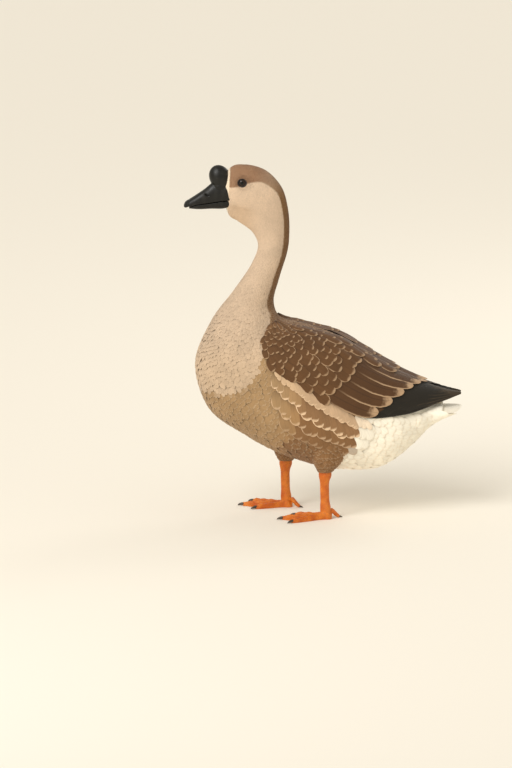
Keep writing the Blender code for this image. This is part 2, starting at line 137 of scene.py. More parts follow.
def smooth(low, high, value):
    """0 below low, 1 above high, and an S curve between them."""
    share = np.clip((np.asarray(value, float) - low) / (high - low), 0, 1)
    return share * share * (3 - 2 * share)


def linear(colour):
    """A colour of 0 to 255 as linear light."""
    share = np.asarray(colour, float) / 255
    return np.where(share <= 0.04045, share / 12.92, ((share + 0.055) / 1.055) ** 2.4)


def carried(stations, steps):
    """Rows carried smoothly from station to station: between two, each number is a cubic whose slopes
    are the neighbouring slopes' mean, in which the nearer one counts more."""
    rows = np.asarray(stations, float)
    spans = np.maximum(np.hypot(*(np.diff(rows[:, :2], axis=0) + np.diff(rows[:, 2:4], axis=0)).T), 1e-4)
    spans = spans[:, None]
    chords = np.diff(rows, axis=0) / spans
    inner = (chords[:-1] * spans[1:] + chords[1:] * spans[:-1]) / (spans[1:] + spans[:-1])
    slopes = np.vstack([chords[:1], inner, chords[-1:]])
    share = (np.arange(steps) / steps)[:, None]
    start, end = rows[:-1, None], rows[1:, None]
    leave, arrive = (slopes[:-1] * spans)[:, None], (slopes[1:] * spans)[:, None]
    made = ((2 * share**3 - 3 * share**2 + 1) * start + (share**3 - 2 * share**2 + share) * leave
            + (3 * share**2 - 2 * share**3) * end + (share**3 - share**2) * arrive)
    return np.vstack([made.reshape(-1, rows.shape[1]), rows[-1:]])


def ring_point(row, angle, lift):
    """The point of slanting rings at an angle up from the widest level on the left side. The half width
    and the reach above or below that level are scaled by a power of cosine and sine, and lift widens all."""
    upper_y, upper_z, lower_y, lower_z, wide, level, square = row
    rise_y, rise_z = upper_y - lower_y, upper_z - lower_z
    tall = np.hypot(rise_y, rise_z)
    cosine, sine = np.cos(angle), np.sin(angle)
    out = np.sign(cosine) * np.abs(cosine) ** (2 / square) * (wide + lift)
    whole = tall + 2 * lift
    reach = np.where(sine > 0, whole * (1 - level), whole * level)
    up = whole * level - lift + np.sign(sine) * np.abs(sine) ** (2 / square) * reach
    return np.stack(np.broadcast_arrays(out, lower_y + rise_y / tall * up, lower_z + rise_z / tall * up), -1)


BODY_ROWS = carried(list(BODY.values()), RING_STEPS)


def at_ring(rows, t):
    """The columns of carried rows at ring number t."""
    return [np.interp(t, np.arange(len(rows)) / RING_STEPS, column) for column in rows.T]


def on_body(t, angle, lift=0.0):
    """The body's outline at ring number t, with the dewlap hung as a bell curve round the throat."""
    columns = at_ring(BODY_ROWS, t)
    point = ring_point(columns[:7], angle, lift)
    from_throat = np.arccos(np.clip(-np.sin(angle), -1, 1))
    hang = np.exp(-((from_throat / DEWLAP_SPREAD) ** 2))
    point[..., 1] += hang * columns[7]
    point[..., 2] += hang * columns[8]
    return point


def unit(vectors):
    return vectors / np.maximum(np.linalg.norm(vectors, axis=-1, keepdims=True), 1e-12)


def turned(first, second, angle):
    """Two coordinates turned by an angle from the first towards the second."""
    cosine, sine = math.cos(angle), math.sin(angle)
    return first * cosine - second * sine, first * sine + second * cosine


def markings(point, t, angle):
    """The plumage's colour at points of the body, with a faint painted shade under the jaw. Each marking's
    border is a curve over y, told in the height that a viewer on the left sees, and the cap and the nape's
    stripe by how far round they reach."""
    y = point[..., 1]
    height = point[..., 2] * math.cos(VIEW_TILT) - np.abs(point[..., 0]) * math.sin(VIEW_TILT)
    up = np.sin(angle)

    def lay(under, colour, cover):
        return under + (linear(colour) - under) * np.asarray(cover)[..., None]

    colour = np.broadcast_to(linear(NECK), (*np.shape(y), 3))
    colour = lay(colour, CHEEK, 1 - smooth(3, 5, t))
    # Painted shade: a faint darker tan band below the jaw line behind the bill, where shade falls under the
    # head
    jaw = np.interp(y, (-0.2425, -0.160), (0.7725, 0.7575)) - height
    colour = lay(colour, JAW_PAINTED_SHADE, 0.55 * smooth(-0.003, 0.006, jaw) * (1 - smooth(-0.205, -0.155, y)) * (t < 5))
    colour = lay(colour, BREAST, 1 - smooth(0.33, 0.50, height))
    belly_top = np.interp(y, (-0.33, -0.3075, -0.245, -0.195, -0.155, -0.13),
                          (0.325, 0.310, 0.2925, 0.3075, 0.360, 0.50))
    scallop = 0.006 * np.abs(np.sin(y * math.pi / 0.028))
    colour = lay(colour, BELLY, smooth(-0.004, 0.004, belly_top - scallop - height))
    flank_front = np.interp(height, (0.10, 0.20, 0.28, 0.36), (-0.17, -0.14, -0.12, -0.13))
    colour = lay(colour, FLANK, smooth(0.0, 0.07, y - flank_front) * (t > RING["withers"]))
    brown_front = np.interp(height, (0.13, 0.1625, 0.18, 0.22, 0.265, 0.34),
                            (-0.10, -0.10, -0.083, -0.066, -0.058, -0.06))
    colour = lay(colour, THIGH_BROWN, smooth(-0.004, 0.008, y - brown_front) * (t > RING["shoulder"]))
    white_front = np.interp(height, (0.10, 0.126, 0.14, 0.16, 0.20, 0.23, 0.26),
                            (0.020, 0.034, 0.050, 0.070, 0.083, 0.080, 0.10))
    colour = lay(colour, WHITE, smooth(-0.004, 0.004, y - white_front) * (t > RING["back"]))
    back_edge = np.interp(t, (7, 8.3, 9, 15, 16), (0.92, 0.90, 0.80, 0.86, 0.95))
    mantle = smooth(-0.04, 0.04, up - back_edge) * smooth(8.0, 8.6, t) * (1 - smooth(14.6, 15.0, t))
    colour = lay(colour, WING_FRONT, mantle)
    cap_edge = np.interp(t, (0, 1, 1.7, 2.2, 2.6, 3, 4, 5, 6, 7, 8, 8.6),
                         (0.20, 0.10, 0.16, 0.30, 0.44, 0.56, 0.70, 0.68, 0.68, 0.72, 0.80, 0.90))
    cap = smooth(-0.03, 0.03, up - cap_edge) * (1 - smooth(8.2, 8.8, t))
    colour = lay(colour, CAP, cap * (1 - smooth(2.5, 4.5, t)))
    colour = lay(colour, STRIPE, cap * smooth(2.5, 4.5, t))
    band_edge = -0.2345 + 0.003 * up
    return lay(colour, BAND, (1 - smooth(-0.0015, 0.0015, y - band_edge)) * (t < 2))


def closed_round(rows, columns):
    """Quads of a grid of rings whose first and last columns join, and triangles of its two poles, for
    points that run ring by ring, with the two poles' points last."""
    row, column = np.meshgrid(np.arange(rows - 1), np.arange(columns), indexing="ij")
    here, across = row * columns + column, row * columns + (column + 1) % columns
    quads = np.stack([here, here + columns, across + columns, across], -1).reshape(-1, 4)
    ring = np.arange(columns)
    following = (ring + 1) % columns
    last = (rows - 1) * columns
    first_pole, last_pole = np.full(columns, rows * columns), np.full(columns, rows * columns + 1)
    start = np.stack([first_pole, ring, following], -1)
    end = np.stack([last_pole, last + following, last + ring], -1)
    return quads, np.vstack([start, end])


def lofted(rings):
    """Points, quads and triangles of a closed surface through rings of points, which turn
    anticlockwise as seen from the end that they run to."""
    rings = np.asarray(rings)
    quads, triangles = closed_round(*rings.shape[:2])
    poles = [rings[0].mean(0), rings[-1].mean(0)]
    return np.vstack([rings.reshape(-1, 3), poles]), quads, triangles


def made(name, points, quads, triangles, finishes):
    """An object whose mesh is put in as whole arrays."""
    data = bpy.data.meshes.new(name)
    corners = np.concatenate([np.ravel(quads), np.ravel(triangles)]).astype(np.int32)
    counts = np.concatenate([np.full(len(quads), 4), np.full(len(triangles), 3)])
    data.vertices.add(len(points))
    data.vertices.foreach_set("co", np.asarray(points, np.float32).ravel())
    data.loops.add(len(corners))
    data.loops.foreach_set("vertex_index", corners)
    data.polygons.add(len(counts))
    data.polygons.foreach_set("loop_start", (np.cumsum(counts) - counts).astype(np.int32))
    data.update(calc_edges=True)
    data.shade_smooth()
    obj = bpy.data.objects.new(name, data)
    bpy.context.scene.collection.objects.link(obj)
    for finish in finishes:
        data.materials.append(finish)
    return obj


def painted(obj, colours, edging=0.0):
    """Gives each point its plumage colour, and as alpha how pale the feather's edge is."""
    values = np.concatenate([colours, np.broadcast_to(edging, (len(colours),))[:, None]], 1)
    layer = obj.data.attributes.new("Plumage", "FLOAT_COLOR", "POINT")
    layer.data.foreach_set("color", values.astype(np.float32).ravel())


def evaluated(obj):
    """Puts the result of an object's modifiers in place of its mesh."""
    graph = bpy.context.evaluated_depsgraph_get()
    data = bpy.data.meshes.new_from_object(obj.evaluated_get(graph))
    obj.modifiers.clear()
    obj.data = data
    return obj


def points_of(obj):
    co = np.empty(len(obj.data.vertices) * 3, np.float32)
    obj.data.vertices.foreach_get("co", co)
    return co.reshape(-1, 3).astype(float)


def set_points(obj, points):
    obj.data.vertices.foreach_set("co", points.astype(np.float32).ravel())
    obj.data.update()


def node(tree, kind, inputs=(), **settings):
    """One shader node. Its inputs are numbers, or other nodes' sockets."""
    new = tree.nodes.new("ShaderNode" + kind)
    for key, value in settings.items():
        setattr(new, key, value)
    for key, value in dict(inputs).items():
        if isinstance(value, bpy.types.NodeSocket):
            tree.links.new(value, new.inputs[key])
        else:
            new.inputs[key].default_value = value
    return new


def math_node(tree, operation, first, second=0.0, third=0.0):
    return node(tree, "Math", {0: first, 1: second, 2: third}, operation=operation).outputs[0]


def ramp(tree, value, low, high, start=0.0, end=1.0):
    """value carried by an S curve from start, at low, to end, at high."""
    return node(tree, "MapRange", {"Value": value, "From Min": low, "From Max": high, "To Min": start,
                                   "To Max": end}, interpolation_type="SMOOTHSTEP").outputs[0]


def blend(tree, share, first, second, kind="MIX"):
    """Two colours mixed by a share of the second."""
    return node(tree, "MixRGB", {"Fac": share, "Color1": first, "Color2": second}, blend_type=kind).outputs[0]


def object_place(tree):
    return node(tree, "TexCoord").outputs["Object"]


def noise(tree, place, scale, detail=3.0):
    return node(tree, "TexNoise", {"Vector": place, "Scale": scale, "Detail": detail}).outputs["Fac"]


def bumped(tree, shader, height, strength, distance):
    bump = node(tree, "Bump", {"Height": height, "Strength": strength, "Distance": distance}).outputs[0]
    tree.links.new(bump, shader.inputs["Normal"])


def material(name, roughness, specular=0.5, **inputs):
    """A Principled material, its node tree and its shader."""
    finish = bpy.data.materials.new(name)
    finish.use_nodes = True
    shader = finish.node_tree.nodes["Principled BSDF"]
    shader.inputs["Roughness"].default_value = roughness
    shader.inputs["Specular IOR Level"].default_value = specular
    for key, value in inputs.items():
        shader.inputs[key.replace("_", " ")].default_value = value
    return finish, finish.node_tree, shader


def rgba(colour):
    return (*linear(colour), 1.0)


def skin_finish():
    """Thin pimpled skin under the plumage, in the plumage's own markings."""
    finish, tree, shader = material("feathered_skin", 0.62, 0.35)
    place = object_place(tree)
    plumage = node(tree, "Attribute", attribute_name="Plumage").outputs["Color"]
    fine = noise(tree, place, 420.0)
    mottled = blend(tree, 1.0, plumage, node(tree, "ValToRGB", {"Fac": fine}).outputs[0], "SOFT_LIGHT")
    tree.links.new(mottled, shader.inputs["Base Color"])
    bumped(tree, shader, fine, 0.5, 0.0004)
    return finish


def leg_finish():
    """Orange scaly skin, paler in broad patches: small many-sided scales with darker creases."""
    finish, tree, shader = material("leg_scales", 0.42, 0.45)
    place = object_place(tree)
    cells = node(tree, "TexVoronoi", {"Vector": place, "Scale": 420.0, "Randomness": 0.85},
                 feature="DISTANCE_TO_EDGE").outputs["Distance"]
    crease = ramp(tree, cells, 0.0, 0.16)
    broad = noise(tree, place, 38.0)
    orange = blend(tree, ramp(tree, broad, 0.35, 0.68), rgba((206, 98, 12)), rgba((234, 134, 36)))
    colour = blend(tree, ramp(tree, crease, 0.0, 1.0, 0.45, 0.0), orange, rgba((150, 62, 8)))
    tree.links.new(colour, shader.inputs["Base Color"])
    bumped(tree, shader, crease, 0.6, 0.0005)
    return finish


def skin_rings():
    """Ring numbers of the skin's mesh, set closest beside the eyes."""
    t = np.linspace(0, SKIN_END, 6000)
    side = on_body(t, np.full_like(t, 0.25))
    step = np.linalg.norm(np.diff(side, axis=0, prepend=side[:1]), axis=1)
    beside = 1 - smooth(0.010, 0.020, np.abs(side[:, 1] - EYE_CENTRE[1]) + np.where(t > 4, 1.0, 0.0))
    wanted = np.interp(t, *SKIN_COARSE)
    spacing = wanted + (SKIN_FINE - wanted) * beside
    count = np.cumsum(step / spacing)
    return np.interp(np.arange(0, count[-1]), count, t)


def from_eye(points, sign):
    """Offsets from one eye's middle, and the distance from it seen from the side, 1 at the lid's edge."""
    away = points - EYE_CENTRE * (sign, 1, 1)
    return away, np.hypot(away[..., 1] / LID_HALF_LENGTH, away[..., 2] / LID_HALF_HEIGHT)


def lids(points):
    """Opens the skin over each eyeball in an oval, and raises its rim as a lid: inside the oval the skin
    goes down into the eyeball, and just outside it a bell curve lifts it, with a crease beyond."""
    for sign in (1, -1):
        away, radius = from_eye(points, sign)
        radius = radius[..., None]
        distance = np.linalg.norm(away, axis=-1, keepdims=True)
        near = (away[..., :1] * sign > -0.004) & (distance < 0.03)
        lift = (LID_RISE * np.exp(-(((radius - 1.13) / 0.13) ** 2))
                - LID_CREASE * np.exp(-(((radius - 1.55) / 0.16) ** 2)))
        opened = np.maximum(distance, EYE_RADIUS + 0.0003) + lift
        sunk = EYE_RADIUS - SOCKET_SINK
        target = sunk + (opened - sunk) * smooth(0.95, 1.02, radius)
        blend_out = 1 - smooth(1.9, 2.4, radius)
        moved = distance + (target - distance) * blend_out
        points = np.where(near, points + away / distance * (moved - distance), points)
    return points


def body_skin():
    """The body's rings drawn in by the coat's depth, and their colours, dark round the eyes."""
    t = skin_rings()[:, None]
    turn = np.arange(SKIN_SIDES) * 2 * math.pi / SKIN_SIDES
    angle = (turn - 0.36 * np.sin(2 * turn))[None, :]
    points = lids(on_body(t, angle, -np.interp(t, COAT_RINGS, COAT_DEPTHS)))
    colours = markings(points, t, angle)
    for sign in (1, -1):
        away, radius = from_eye(points, sign)
        dark = (1 - smooth(1.22, 1.34, radius)) * (away[..., 0] * sign > -0.004)
        colours = colours + (linear(LID_DARK) - colours) * dark[..., None]
    colours = colours.reshape(-1, 3)
    return lofted(points), np.vstack([colours, colours[:1], colours[-1:]])


def level_rings(x, y, rows, sides, steps):
    """Rings of a leg, each a level ellipse at its own height."""
    rows = np.array(rows)
    rows = carried(rows[:, [0, 1, 0, 1, 2, 3]], steps)[:, [0, 1, 4, 5]]
    angle = np.arange(sides) * 2 * math.pi / sides
    return np.stack([x + rows[:, 2:3] * np.cos(angle), y + rows[:, :1] - rows[:, 3:] * np.sin(angle),
                     np.repeat(rows[:, 1:2], sides, 1)], -1)


def foot_top(along_steps, side_steps, web_steps):
    """Points on top of a left foot with its ankle at the origin: lines run from the heel's arc along the
    toes and webs, and rise over each toe as a half circle does, and to the ankle as a bell curve does."""
    toes = list(TOES.values())
    lines = []
    for i, (angle, length) in enumerate(toes):
        lines += [(angle, length, side, 1) for side in np.linspace(-1, 1, side_steps)]
        if i + 1 < len(toes):
            after = toes[i + 1]
            for share in np.arange(1, web_steps) / web_steps:
                scallop = WEB_SCALLOP * math.sin(math.pi * share)
                lines.append((angle + (after[0] - angle) * share,
                              length + (after[1] - length) * share - scallop, 0, 0))
    angle, length, side, toe = np.array(lines).T[..., None]
    angle = np.radians(angle)
    along = np.linspace(0, 1, along_steps)[None, :]
    heel = np.radians(np.linspace(-100, 100, len(lines)))[:, None]
    radius = TOE_RADIUS * (1 - 0.30 * along) * (1 - 0.20 * smooth(0.88, 0.96, along))
    joints = 1 + 0.06 * np.cos(along * length / TOE_JOINT * 2 * math.pi)
    offset = side * radius * np.minimum(1, along / 0.45)
    reach = along * length * (1 - 0.05 * side**2)
    route_x = reach * np.sin(angle) + offset * np.cos(angle)
    route_y = -reach * np.cos(angle) + offset * np.sin(angle)
    share = smooth(0, 0.42, along)
    x = HEEL_RADIUS * np.sin(heel) * (1 - share) + route_x * share
    y = (0.0040 + HEEL_RADIUS * np.cos(heel)) * (1 - share) + route_y * share
    ridge = radius * joints * (1 + np.sqrt(np.maximum(1 - side**2, 0))) * toe * (np.abs(side) < 1)
    instep = ANKLE_Z * np.exp(-((np.hypot(x, y + 0.001) / INSTEP_RADIUS) ** 4))
    wrinkle = 0.00025 * np.sin(along * length / 0.0035 * math.pi) * (1 - toe)
    height = np.maximum(np.maximum(WEB_TOP + wrinkle, ridge), instep)
    height[:, 0] = 0.008
    return np.stack([x, y, height], -1)


def foot_to_place(points, side, mirror):
    """Turns the left foot out by its angle, mirrors it for the right, and puts it under its ankle."""
    x, y = turned(points[..., 0], points[..., 1], FOOT_TURN)
    return np.stack([mirror * (LEG_SPREAD + x), FOOT_Y[side] + y, points[..., 2]], -1)


def tube(path, radii, sides, flat=1.0):
    """A tapering limb along a path, as rings square to it. flat squeezes them from side to side."""
    path, radii = np.asarray(path, float), np.asarray(radii, float)
    along = unit(np.gradient(path, axis=0))
    across = unit(np.cross(along, (0, 0, 1.0)))
    up = np.cross(across, along)
    angle = np.arange(sides) * 2 * math.pi / sides
    spokes = across[:, None] * np.cos(angle)[:, None] * flat - up[:, None] * np.sin(angle)[:, None]
    return path[:, None] + spokes * radii[:, None, None]


def resampled(path, count):
    """A path's points spread evenly along a cubic through it."""
    path = np.asarray(path, float)
    rows = carried(np.concatenate([path[:, :2], path[:, :2], path], 1), 12)[:, 4:]
    length = np.cumsum(np.linalg.norm(np.diff(rows, axis=0, prepend=rows[:1]), axis=1))
    at = np.linspace(0, length[-1], count)
    return np.stack([np.interp(at, length, column) for column in rows.T], -1)


def melt(whole, voxel, passes):
    """Remakes an object's surface in small even faces, and eases it."""
    remesh = whole.modifiers.new("melt", "REMESH")
    remesh.mode = "VOXEL"
    remesh.voxel_size = voxel
    ease = whole.modifiers.new("ease", "SMOOTH")
    ease.factor = 0.5
    ease.iterations = passes
    return evaluated(whole)


def leg_skin(side, mirror):
    """Thigh, shank, webbed foot and hind toe melted into one surface of small even faces."""
    x, y = mirror * LEG_SPREAD, FOOT_Y[side]
    thigh = np.array(THIGH) - np.array((0, 0, THIGH_COAT, THIGH_COAT))
    shapes = [lofted(level_rings(x, y, thigh, 48, 6)), lofted(level_rings(x, y, SHANK, 40, 8))]
    top = foot_top(46, 11, 8)
    top = np.concatenate([top[:, :1] * (1, 1, 0), top, top[:, -1:] * (1, 1, 0)], 1)
    sole = top * (1, 1, 0)
    grid = np.concatenate([foot_to_place(top, side, mirror), foot_to_place(sole, side, mirror)[::-1]])
    if mirror < 0:
        grid = grid[::-1]
    points, quads, _ = lofted(grid.transpose(1, 0, 2))
    shapes.append((points[:-2], quads, np.empty((0, 3), int)))
    hind = resampled(np.column_stack([HIND_TOE, HIND_TOE_RADII]), 24)
    shapes.append(lofted(tube(foot_to_place(hind[:, :3], side, mirror), hind[:, 3], 20)))
    objects = [made(f"leg_shape_{side}_{i}", *shape, ()) for i, shape in enumerate(shapes)]
    whole = joined(objects)
    whole.data.attributes.new("Plumage", "FLOAT_COLOR", "POINT")
    return melt(whole, LEG_VOXEL, 3)


def joined(objects):
    """Objects joined into the first."""
    with bpy.context.temp_override(active_object=objects[0], selected_editable_objects=objects,
                                   selected_objects=objects, object=objects[0]):
        bpy.ops.object.join()
    return objects[0]


def scutes(points):
    """Pushes shallow plates out of the legs: rows of broad scales down the front of each shank and over
    each toe, as saw-tooth steps along it."""
    for side, mirror in SIDES:
        local_x = points[:, 0] * mirror - LEG_SPREAD
        local_y = points[:, 1] - FOOT_Y[side]
        mine = (points[:, 0] * mirror > 0) & (points[:, 2] < HOCK_Z)
        shank = mine & (points[:, 2] > 0.024)
        radius = np.hypot(local_x, local_y + 0.001)
        facing = smooth(0.35, 0.75, -(local_y + 0.001) / np.maximum(radius, 1e-6))
        step = np.mod(points[:, 2] / SHANK_SCUTE, 1)
        plate = 0.00045 * (step - 0.6) * facing * smooth(0.024, 0.032, points[:, 2])
        scale = np.where(shank, 1 + plate / np.maximum(radius, 1e-6), 1)
        points[:, 0] = mirror * (LEG_SPREAD + local_x * scale)
        points[:, 1] = FOOT_Y[side] - 0.001 + (local_y + 0.001) * scale
        foot_x, foot_y = turned(local_x, local_y, -FOOT_TURN)
        reach, heading = np.hypot(foot_x, foot_y), np.degrees(np.arctan2(foot_x, -foot_y))
        on_toe = np.max([np.exp(-((reach * np.radians(heading - toe[0]) / 0.0045) ** 4))
                         for toe in TOES.values()], 0)
        ridge = mine & (points[:, 2] > 0.006) & (points[:, 2] < 0.021) & (reach > 0.018)
        rise = 0.0005 * (np.mod(reach / TOE_SCUTE, 1) - 0.5) * on_toe
        points[:, 2] += np.where(ridge, rise, 0)
    points[:, 2] = np.where(points[:, 2] < 0.0006, SOLE, points[:, 2])
    return points


def whole_skin():
    """Body and legs united, with the legs' own finish below the hocks."""
    (points, quads, triangles), colours = body_skin()
    body = made("skin", points, quads, triangles, (skin_finish(), leg_finish()))
    painted(body, colours)
    for side, mirror in SIDES:
        leg = leg_skin(side, mirror)
        union = body.modifiers.new(f"leg_{side}", "BOOLEAN")
        union.operation = "UNION"
        union.solver = "EXACT"
        union.object = leg
        evaluated(body)
        bpy.data.objects.remove(leg)
    set_points(body, scutes(points_of(body)))
    centre = np.empty(len(body.data.polygons) * 3, np.float32)
    body.data.polygons.foreach_get("center", centre)
    body.data.polygons.foreach_set("material_index", (centre[2::3] < HOCK_Z).astype(np.int32))
    body.data.shade_smooth()
    return body


skin = whole_skin()
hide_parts("head", "neck_upper", "neck_lower", "dewlap", "trunk", "tail",
            *(f"{part}_{side}" for part in ("thigh", "shank", "foot", "hind_toe") for side, _ in SIDES))
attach(skin, "root")

# Eyes
# Dark glossy eyeballs, each with a very dark brown iris round the pupil, held by the skin's lids.

PUPIL_RADIUS = 0.0040
IRIS_RADIUS = 0.0078
CORNEA_RISE = 0.0004


def eye_finish(sign):
    """Black pupil, dark brown iris streaked outwards, and a black rim, under a thin clear coat."""
    finish, tree, shader = material(f"eyeball_{'left' if sign > 0 else 'right'}", 0.15, 0.12, Coat_Weight=0.3,
                                    Coat_Roughness=0.02)
    centre = tuple(EYE_CENTRE * (sign, 1, 1))
    place = object_place(tree)
    away = node(tree, "VectorMath", {0: place, 1: centre}, operation="SUBTRACT").outputs[0]
    flat = node(tree, "VectorMath", {0: away, 1: (0.0, 1.0, 1.0)}, operation="MULTIPLY").outputs[0]
    radius = node(tree, "VectorMath", {0: flat}, operation="LENGTH").outputs["Value"]
    outward = node(tree, "VectorMath", {0: flat}, operation="NORMALIZE").outputs[0]
    streaks = noise(tree, outward, 9.0)
    iris = blend(tree, ramp(tree, streaks, 0.35, 0.65), rgba((34, 23, 17)), rgba((56, 38, 27)))
    inner = blend(tree, ramp(tree, radius, PUPIL_RADIUS, PUPIL_RADIUS + 0.0004), rgba((8, 7, 7)), iris)
    whole = blend(tree, ramp(tree, radius, IRIS_RADIUS - 0.0008, IRIS_RADIUS), inner, rgba((12, 9, 8)))
    tree.links.new(whole, shader.inputs["Base Color"])
    return finish


def eyeball(side, sign):
    """A ball whose outer pole bulges as a bell curve over the cornea."""
    polar = np.linspace(0.02, math.pi - 0.02, 40)[:, None]
    turn = np.arange(56) * 2 * math.pi / 56
    radius = EYE_RADIUS + CORNEA_RISE * np.exp(-((polar / math.radians(32)) ** 2))
    rings = np.stack(np.broadcast_arrays(sign * radius * np.cos(polar),
                                         radius * np.sin(polar) * np.cos(turn) * sign,
                                         radius * np.sin(polar) * np.sin(turn)), -1)
    rings = rings[:, ::-1] + EYE_CENTRE * (sign, 1, 1)
    obj = made(f"eyeball_{side}", *lofted(rings), (eye_finish(sign),))
    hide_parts(f"eye_{side}")
    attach(obj, "root")


for side, sign in SIDES:
    eyeball(side, sign)

# Bill and knob
# Black horn over bone. The upper bill, the fleshy knob on the forehead and a small swelling under the knob
# are one smooth surface, with the nostrils, and the nail at the tip. The lower bill lies under it with fine
# ridges along its rim.

UPPER_BILL = (
    (-0.2200, 0.8560, -0.2200, 0.7990, 0.0210, 0.20, 2.3),
    (-0.2480, 0.8450, -0.2480, 0.7965, 0.0198, 0.18, 2.3),
    (-0.2720, 0.8430, -0.2720, 0.7930, 0.0186, 0.16, 2.3),
    (-0.2960, 0.8245, -0.2960, 0.7895, 0.0180, 0.15, 2.4),
    (-0.3190, 0.8085, -0.3190, 0.7860, 0.0178, 0.15, 2.5),
    (-0.3360, 0.7975, -0.3360, 0.7815, 0.0152, 0.20, 2.4),
    (-0.3445, 0.7910, -0.3435, 0.7785, 0.0095, 0.30, 2.2),
    (-0.3475, 0.7845, -0.3470, 0.7790, 0.0040, 0.50, 2.0))
LOWER_BILL = (
    (-0.2200, 0.7985, -0.2200, 0.7860, 0.0120, 0.85, 2.2),
    (-0.2420, 0.7965, -0.2410, 0.7770, 0.0170, 0.85, 2.2),
    (-0.2830, 0.7905, -0.2810, 0.7750, 0.0164, 0.85, 2.2),
    (-0.3160, 0.7855, -0.3150, 0.7740, 0.0152, 0.85, 2.2),
    (-0.3340, 0.7805, -0.3340, 0.7755, 0.0090, 0.80, 2.0))
KNOB_CENTRE = np.array((0.0, -0.2565, 0.8535))
KNOB_RADII = np.array((0.0215, 0.0265, 0.0330))
KNOB_LEAN = math.radians(28)
KNOB_FOOT_CENTRE = np.array((0.0, -0.2560, 0.8330))  # swelling where the knob grows out of the bill
KNOB_FOOT_RADII = np.array((0.0192, 0.0200, 0.0165))
BILL_VOXEL = 0.0009
LIP_SQUARENESS = 7
NOSTRIL = (-0.2905, 0.8125)  # middle, as (y, z)
NOSTRIL_HALF = (0.0050, 0.0019)
NOSTRIL_SLANT = math.radians(24)
NAIL_START = -0.3335


def bill_finish(name, roughness):
    """Black horn, a little worn and greyer in broad patches, with fine grain along it."""
    finish, tree, shader = material(name, roughness, 0.35)
    place = object_place(tree)
    drawn = node(tree, "Mapping", {"Vector": place, "Scale": (260.0, 60.0, 260.0)}).outputs[0]
    grain = noise(tree, drawn, 1.0, 4.0)
    broad = noise(tree, place, 55.0)
    worn = blend(tree, ramp(tree, broad, 0.42, 0.72), rgba((17, 16, 12)), rgba((31, 29, 23)))
    colour = blend(tree, ramp(tree, grain, 0.3, 0.7, 0.0, 0.4), worn, rgba((12, 11, 9)))
    tree.links.new(colour, shader.inputs["Base Color"])
    tree.links.new(ramp(tree, broad, 0.3, 0.7, roughness - 0.07, roughness + 0.10),
                   shader.inputs["Roughness"])
    bumped(tree, shader, grain, 0.35, 0.0003)
    return finish


def bill_rings(rows, sides, steps, lip):
    """The bill's rings, made nearly square on the side that closes on the other bill: lip is -1 where that
    is the lower side and 1 where it is the upper one."""
    angle = (np.arange(sides) * 2 * math.pi / sides)[::-1]
    columns = [column[:, None] for column in carried(rows, steps).T]
    columns[6] = np.where(np.sin(angle) * lip > 0, LIP_SQUARENESS, columns[6])
    return ring_point(columns, angle, 0.0)


def ball_rings(centre, radii, lean):
    """An ellipsoid leant forward."""
    polar = np.linspace(0.03, math.pi - 0.03, 40)[:, None]
    turn = np.arange(56) * 2 * math.pi / 56
    ball = np.stack(np.broadcast_arrays(np.sin(polar) * np.cos(turn), np.sin(polar) * np.sin(turn),
                                        np.cos(polar)), -1)
    x, y, z = np.moveaxis(ball * radii, -1, 0)
    return np.stack([x, *turned(y, z, lean)], -1)[:, ::-1] + centre


def bill_detail(points):
    """Sinks the nostrils as ovals with a faint rim, and raises the nail behind a groove."""
    x, y, z = points.T
    slant_y, slant_z = turned(y - NOSTRIL[0], z - NOSTRIL[1], NOSTRIL_SLANT)
    oval = np.hypot(slant_y / NOSTRIL_HALF[0], slant_z / NOSTRIL_HALF[1])
    inward = 0.0034 * np.exp(-(oval**4)) - 0.0007 * np.exp(-(((oval - 1.7) / 0.5) ** 2))
    inward = np.where(np.abs(x) > 0.004, inward, 0)
    points[:, 0] -= np.sign(x) * np.minimum(inward, np.abs(x) - 0.001)
    edge = y - (NAIL_START - 18 * x**2)
    groove = -0.0005 * np.exp(-((edge / 0.0008) ** 2)) + 0.0004 * smooth(0.001, 0.004, -edge)
    points[:, 2] += np.where(z > 0.786, groove, 0)
    return points


def melted(name, shapes, voxel, passes, finishes):
    """Closed shapes melted into one surface of small even faces, and eased."""
    whole = joined([made(f"{name}_{i}", *shape, finishes) for i, shape in enumerate(shapes)])
    whole.name = name
    melt(whole, voxel, passes)
    whole.data.shade_smooth()
    return whole


upper_bill = melted("bill_and_knob", [lofted(bill_rings(UPPER_BILL, 64, 10, -1)),
                                      lofted(ball_rings(KNOB_CENTRE, KNOB_RADII, KNOB_LEAN)),
                                      lofted(ball_rings(KNOB_FOOT_CENTRE, KNOB_FOOT_RADII, 0))],
                    BILL_VOXEL, 6, (bill_finish("bill_horn", 0.38),))
set_points(upper_bill, bill_detail(points_of(upper_bill)))
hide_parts("bill_upper", "knob")


def lower_bill():
    """The lower bill's rings, with ridges across its rim that fade downwards."""
    rings = bill_rings(LOWER_BILL, 96, 24, 1)
    rim = smooth(0.55, 0.95, (rings[..., 2] - 0.774) / 0.0165) * (np.abs(rings[..., 0]) > 0.006)
    ridges = 0.00028 * np.sin(rings[..., 1] / 0.0019 * 2 * math.pi) * rim
    rings[..., 0] += np.sign(rings[..., 0]) * ridges
    return made("bill_lower_horn", *lofted(rings), (bill_finish("bill_horn_lower", 0.40),))


under_bill = lower_bill()
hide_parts("bill_lower")
for horn in (upper_bill, under_bill):
    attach(horn, "root")

# Feathers of the body
# Each is a thin closed vane, rooted near the skin, that follows the body's curve and ends just above the
# outline over the roots of the next row. Rows are staggered, and grow from 4 mm long on the face to 40 mm
# on the belly.

BODY_RINGS = np.arange(18)
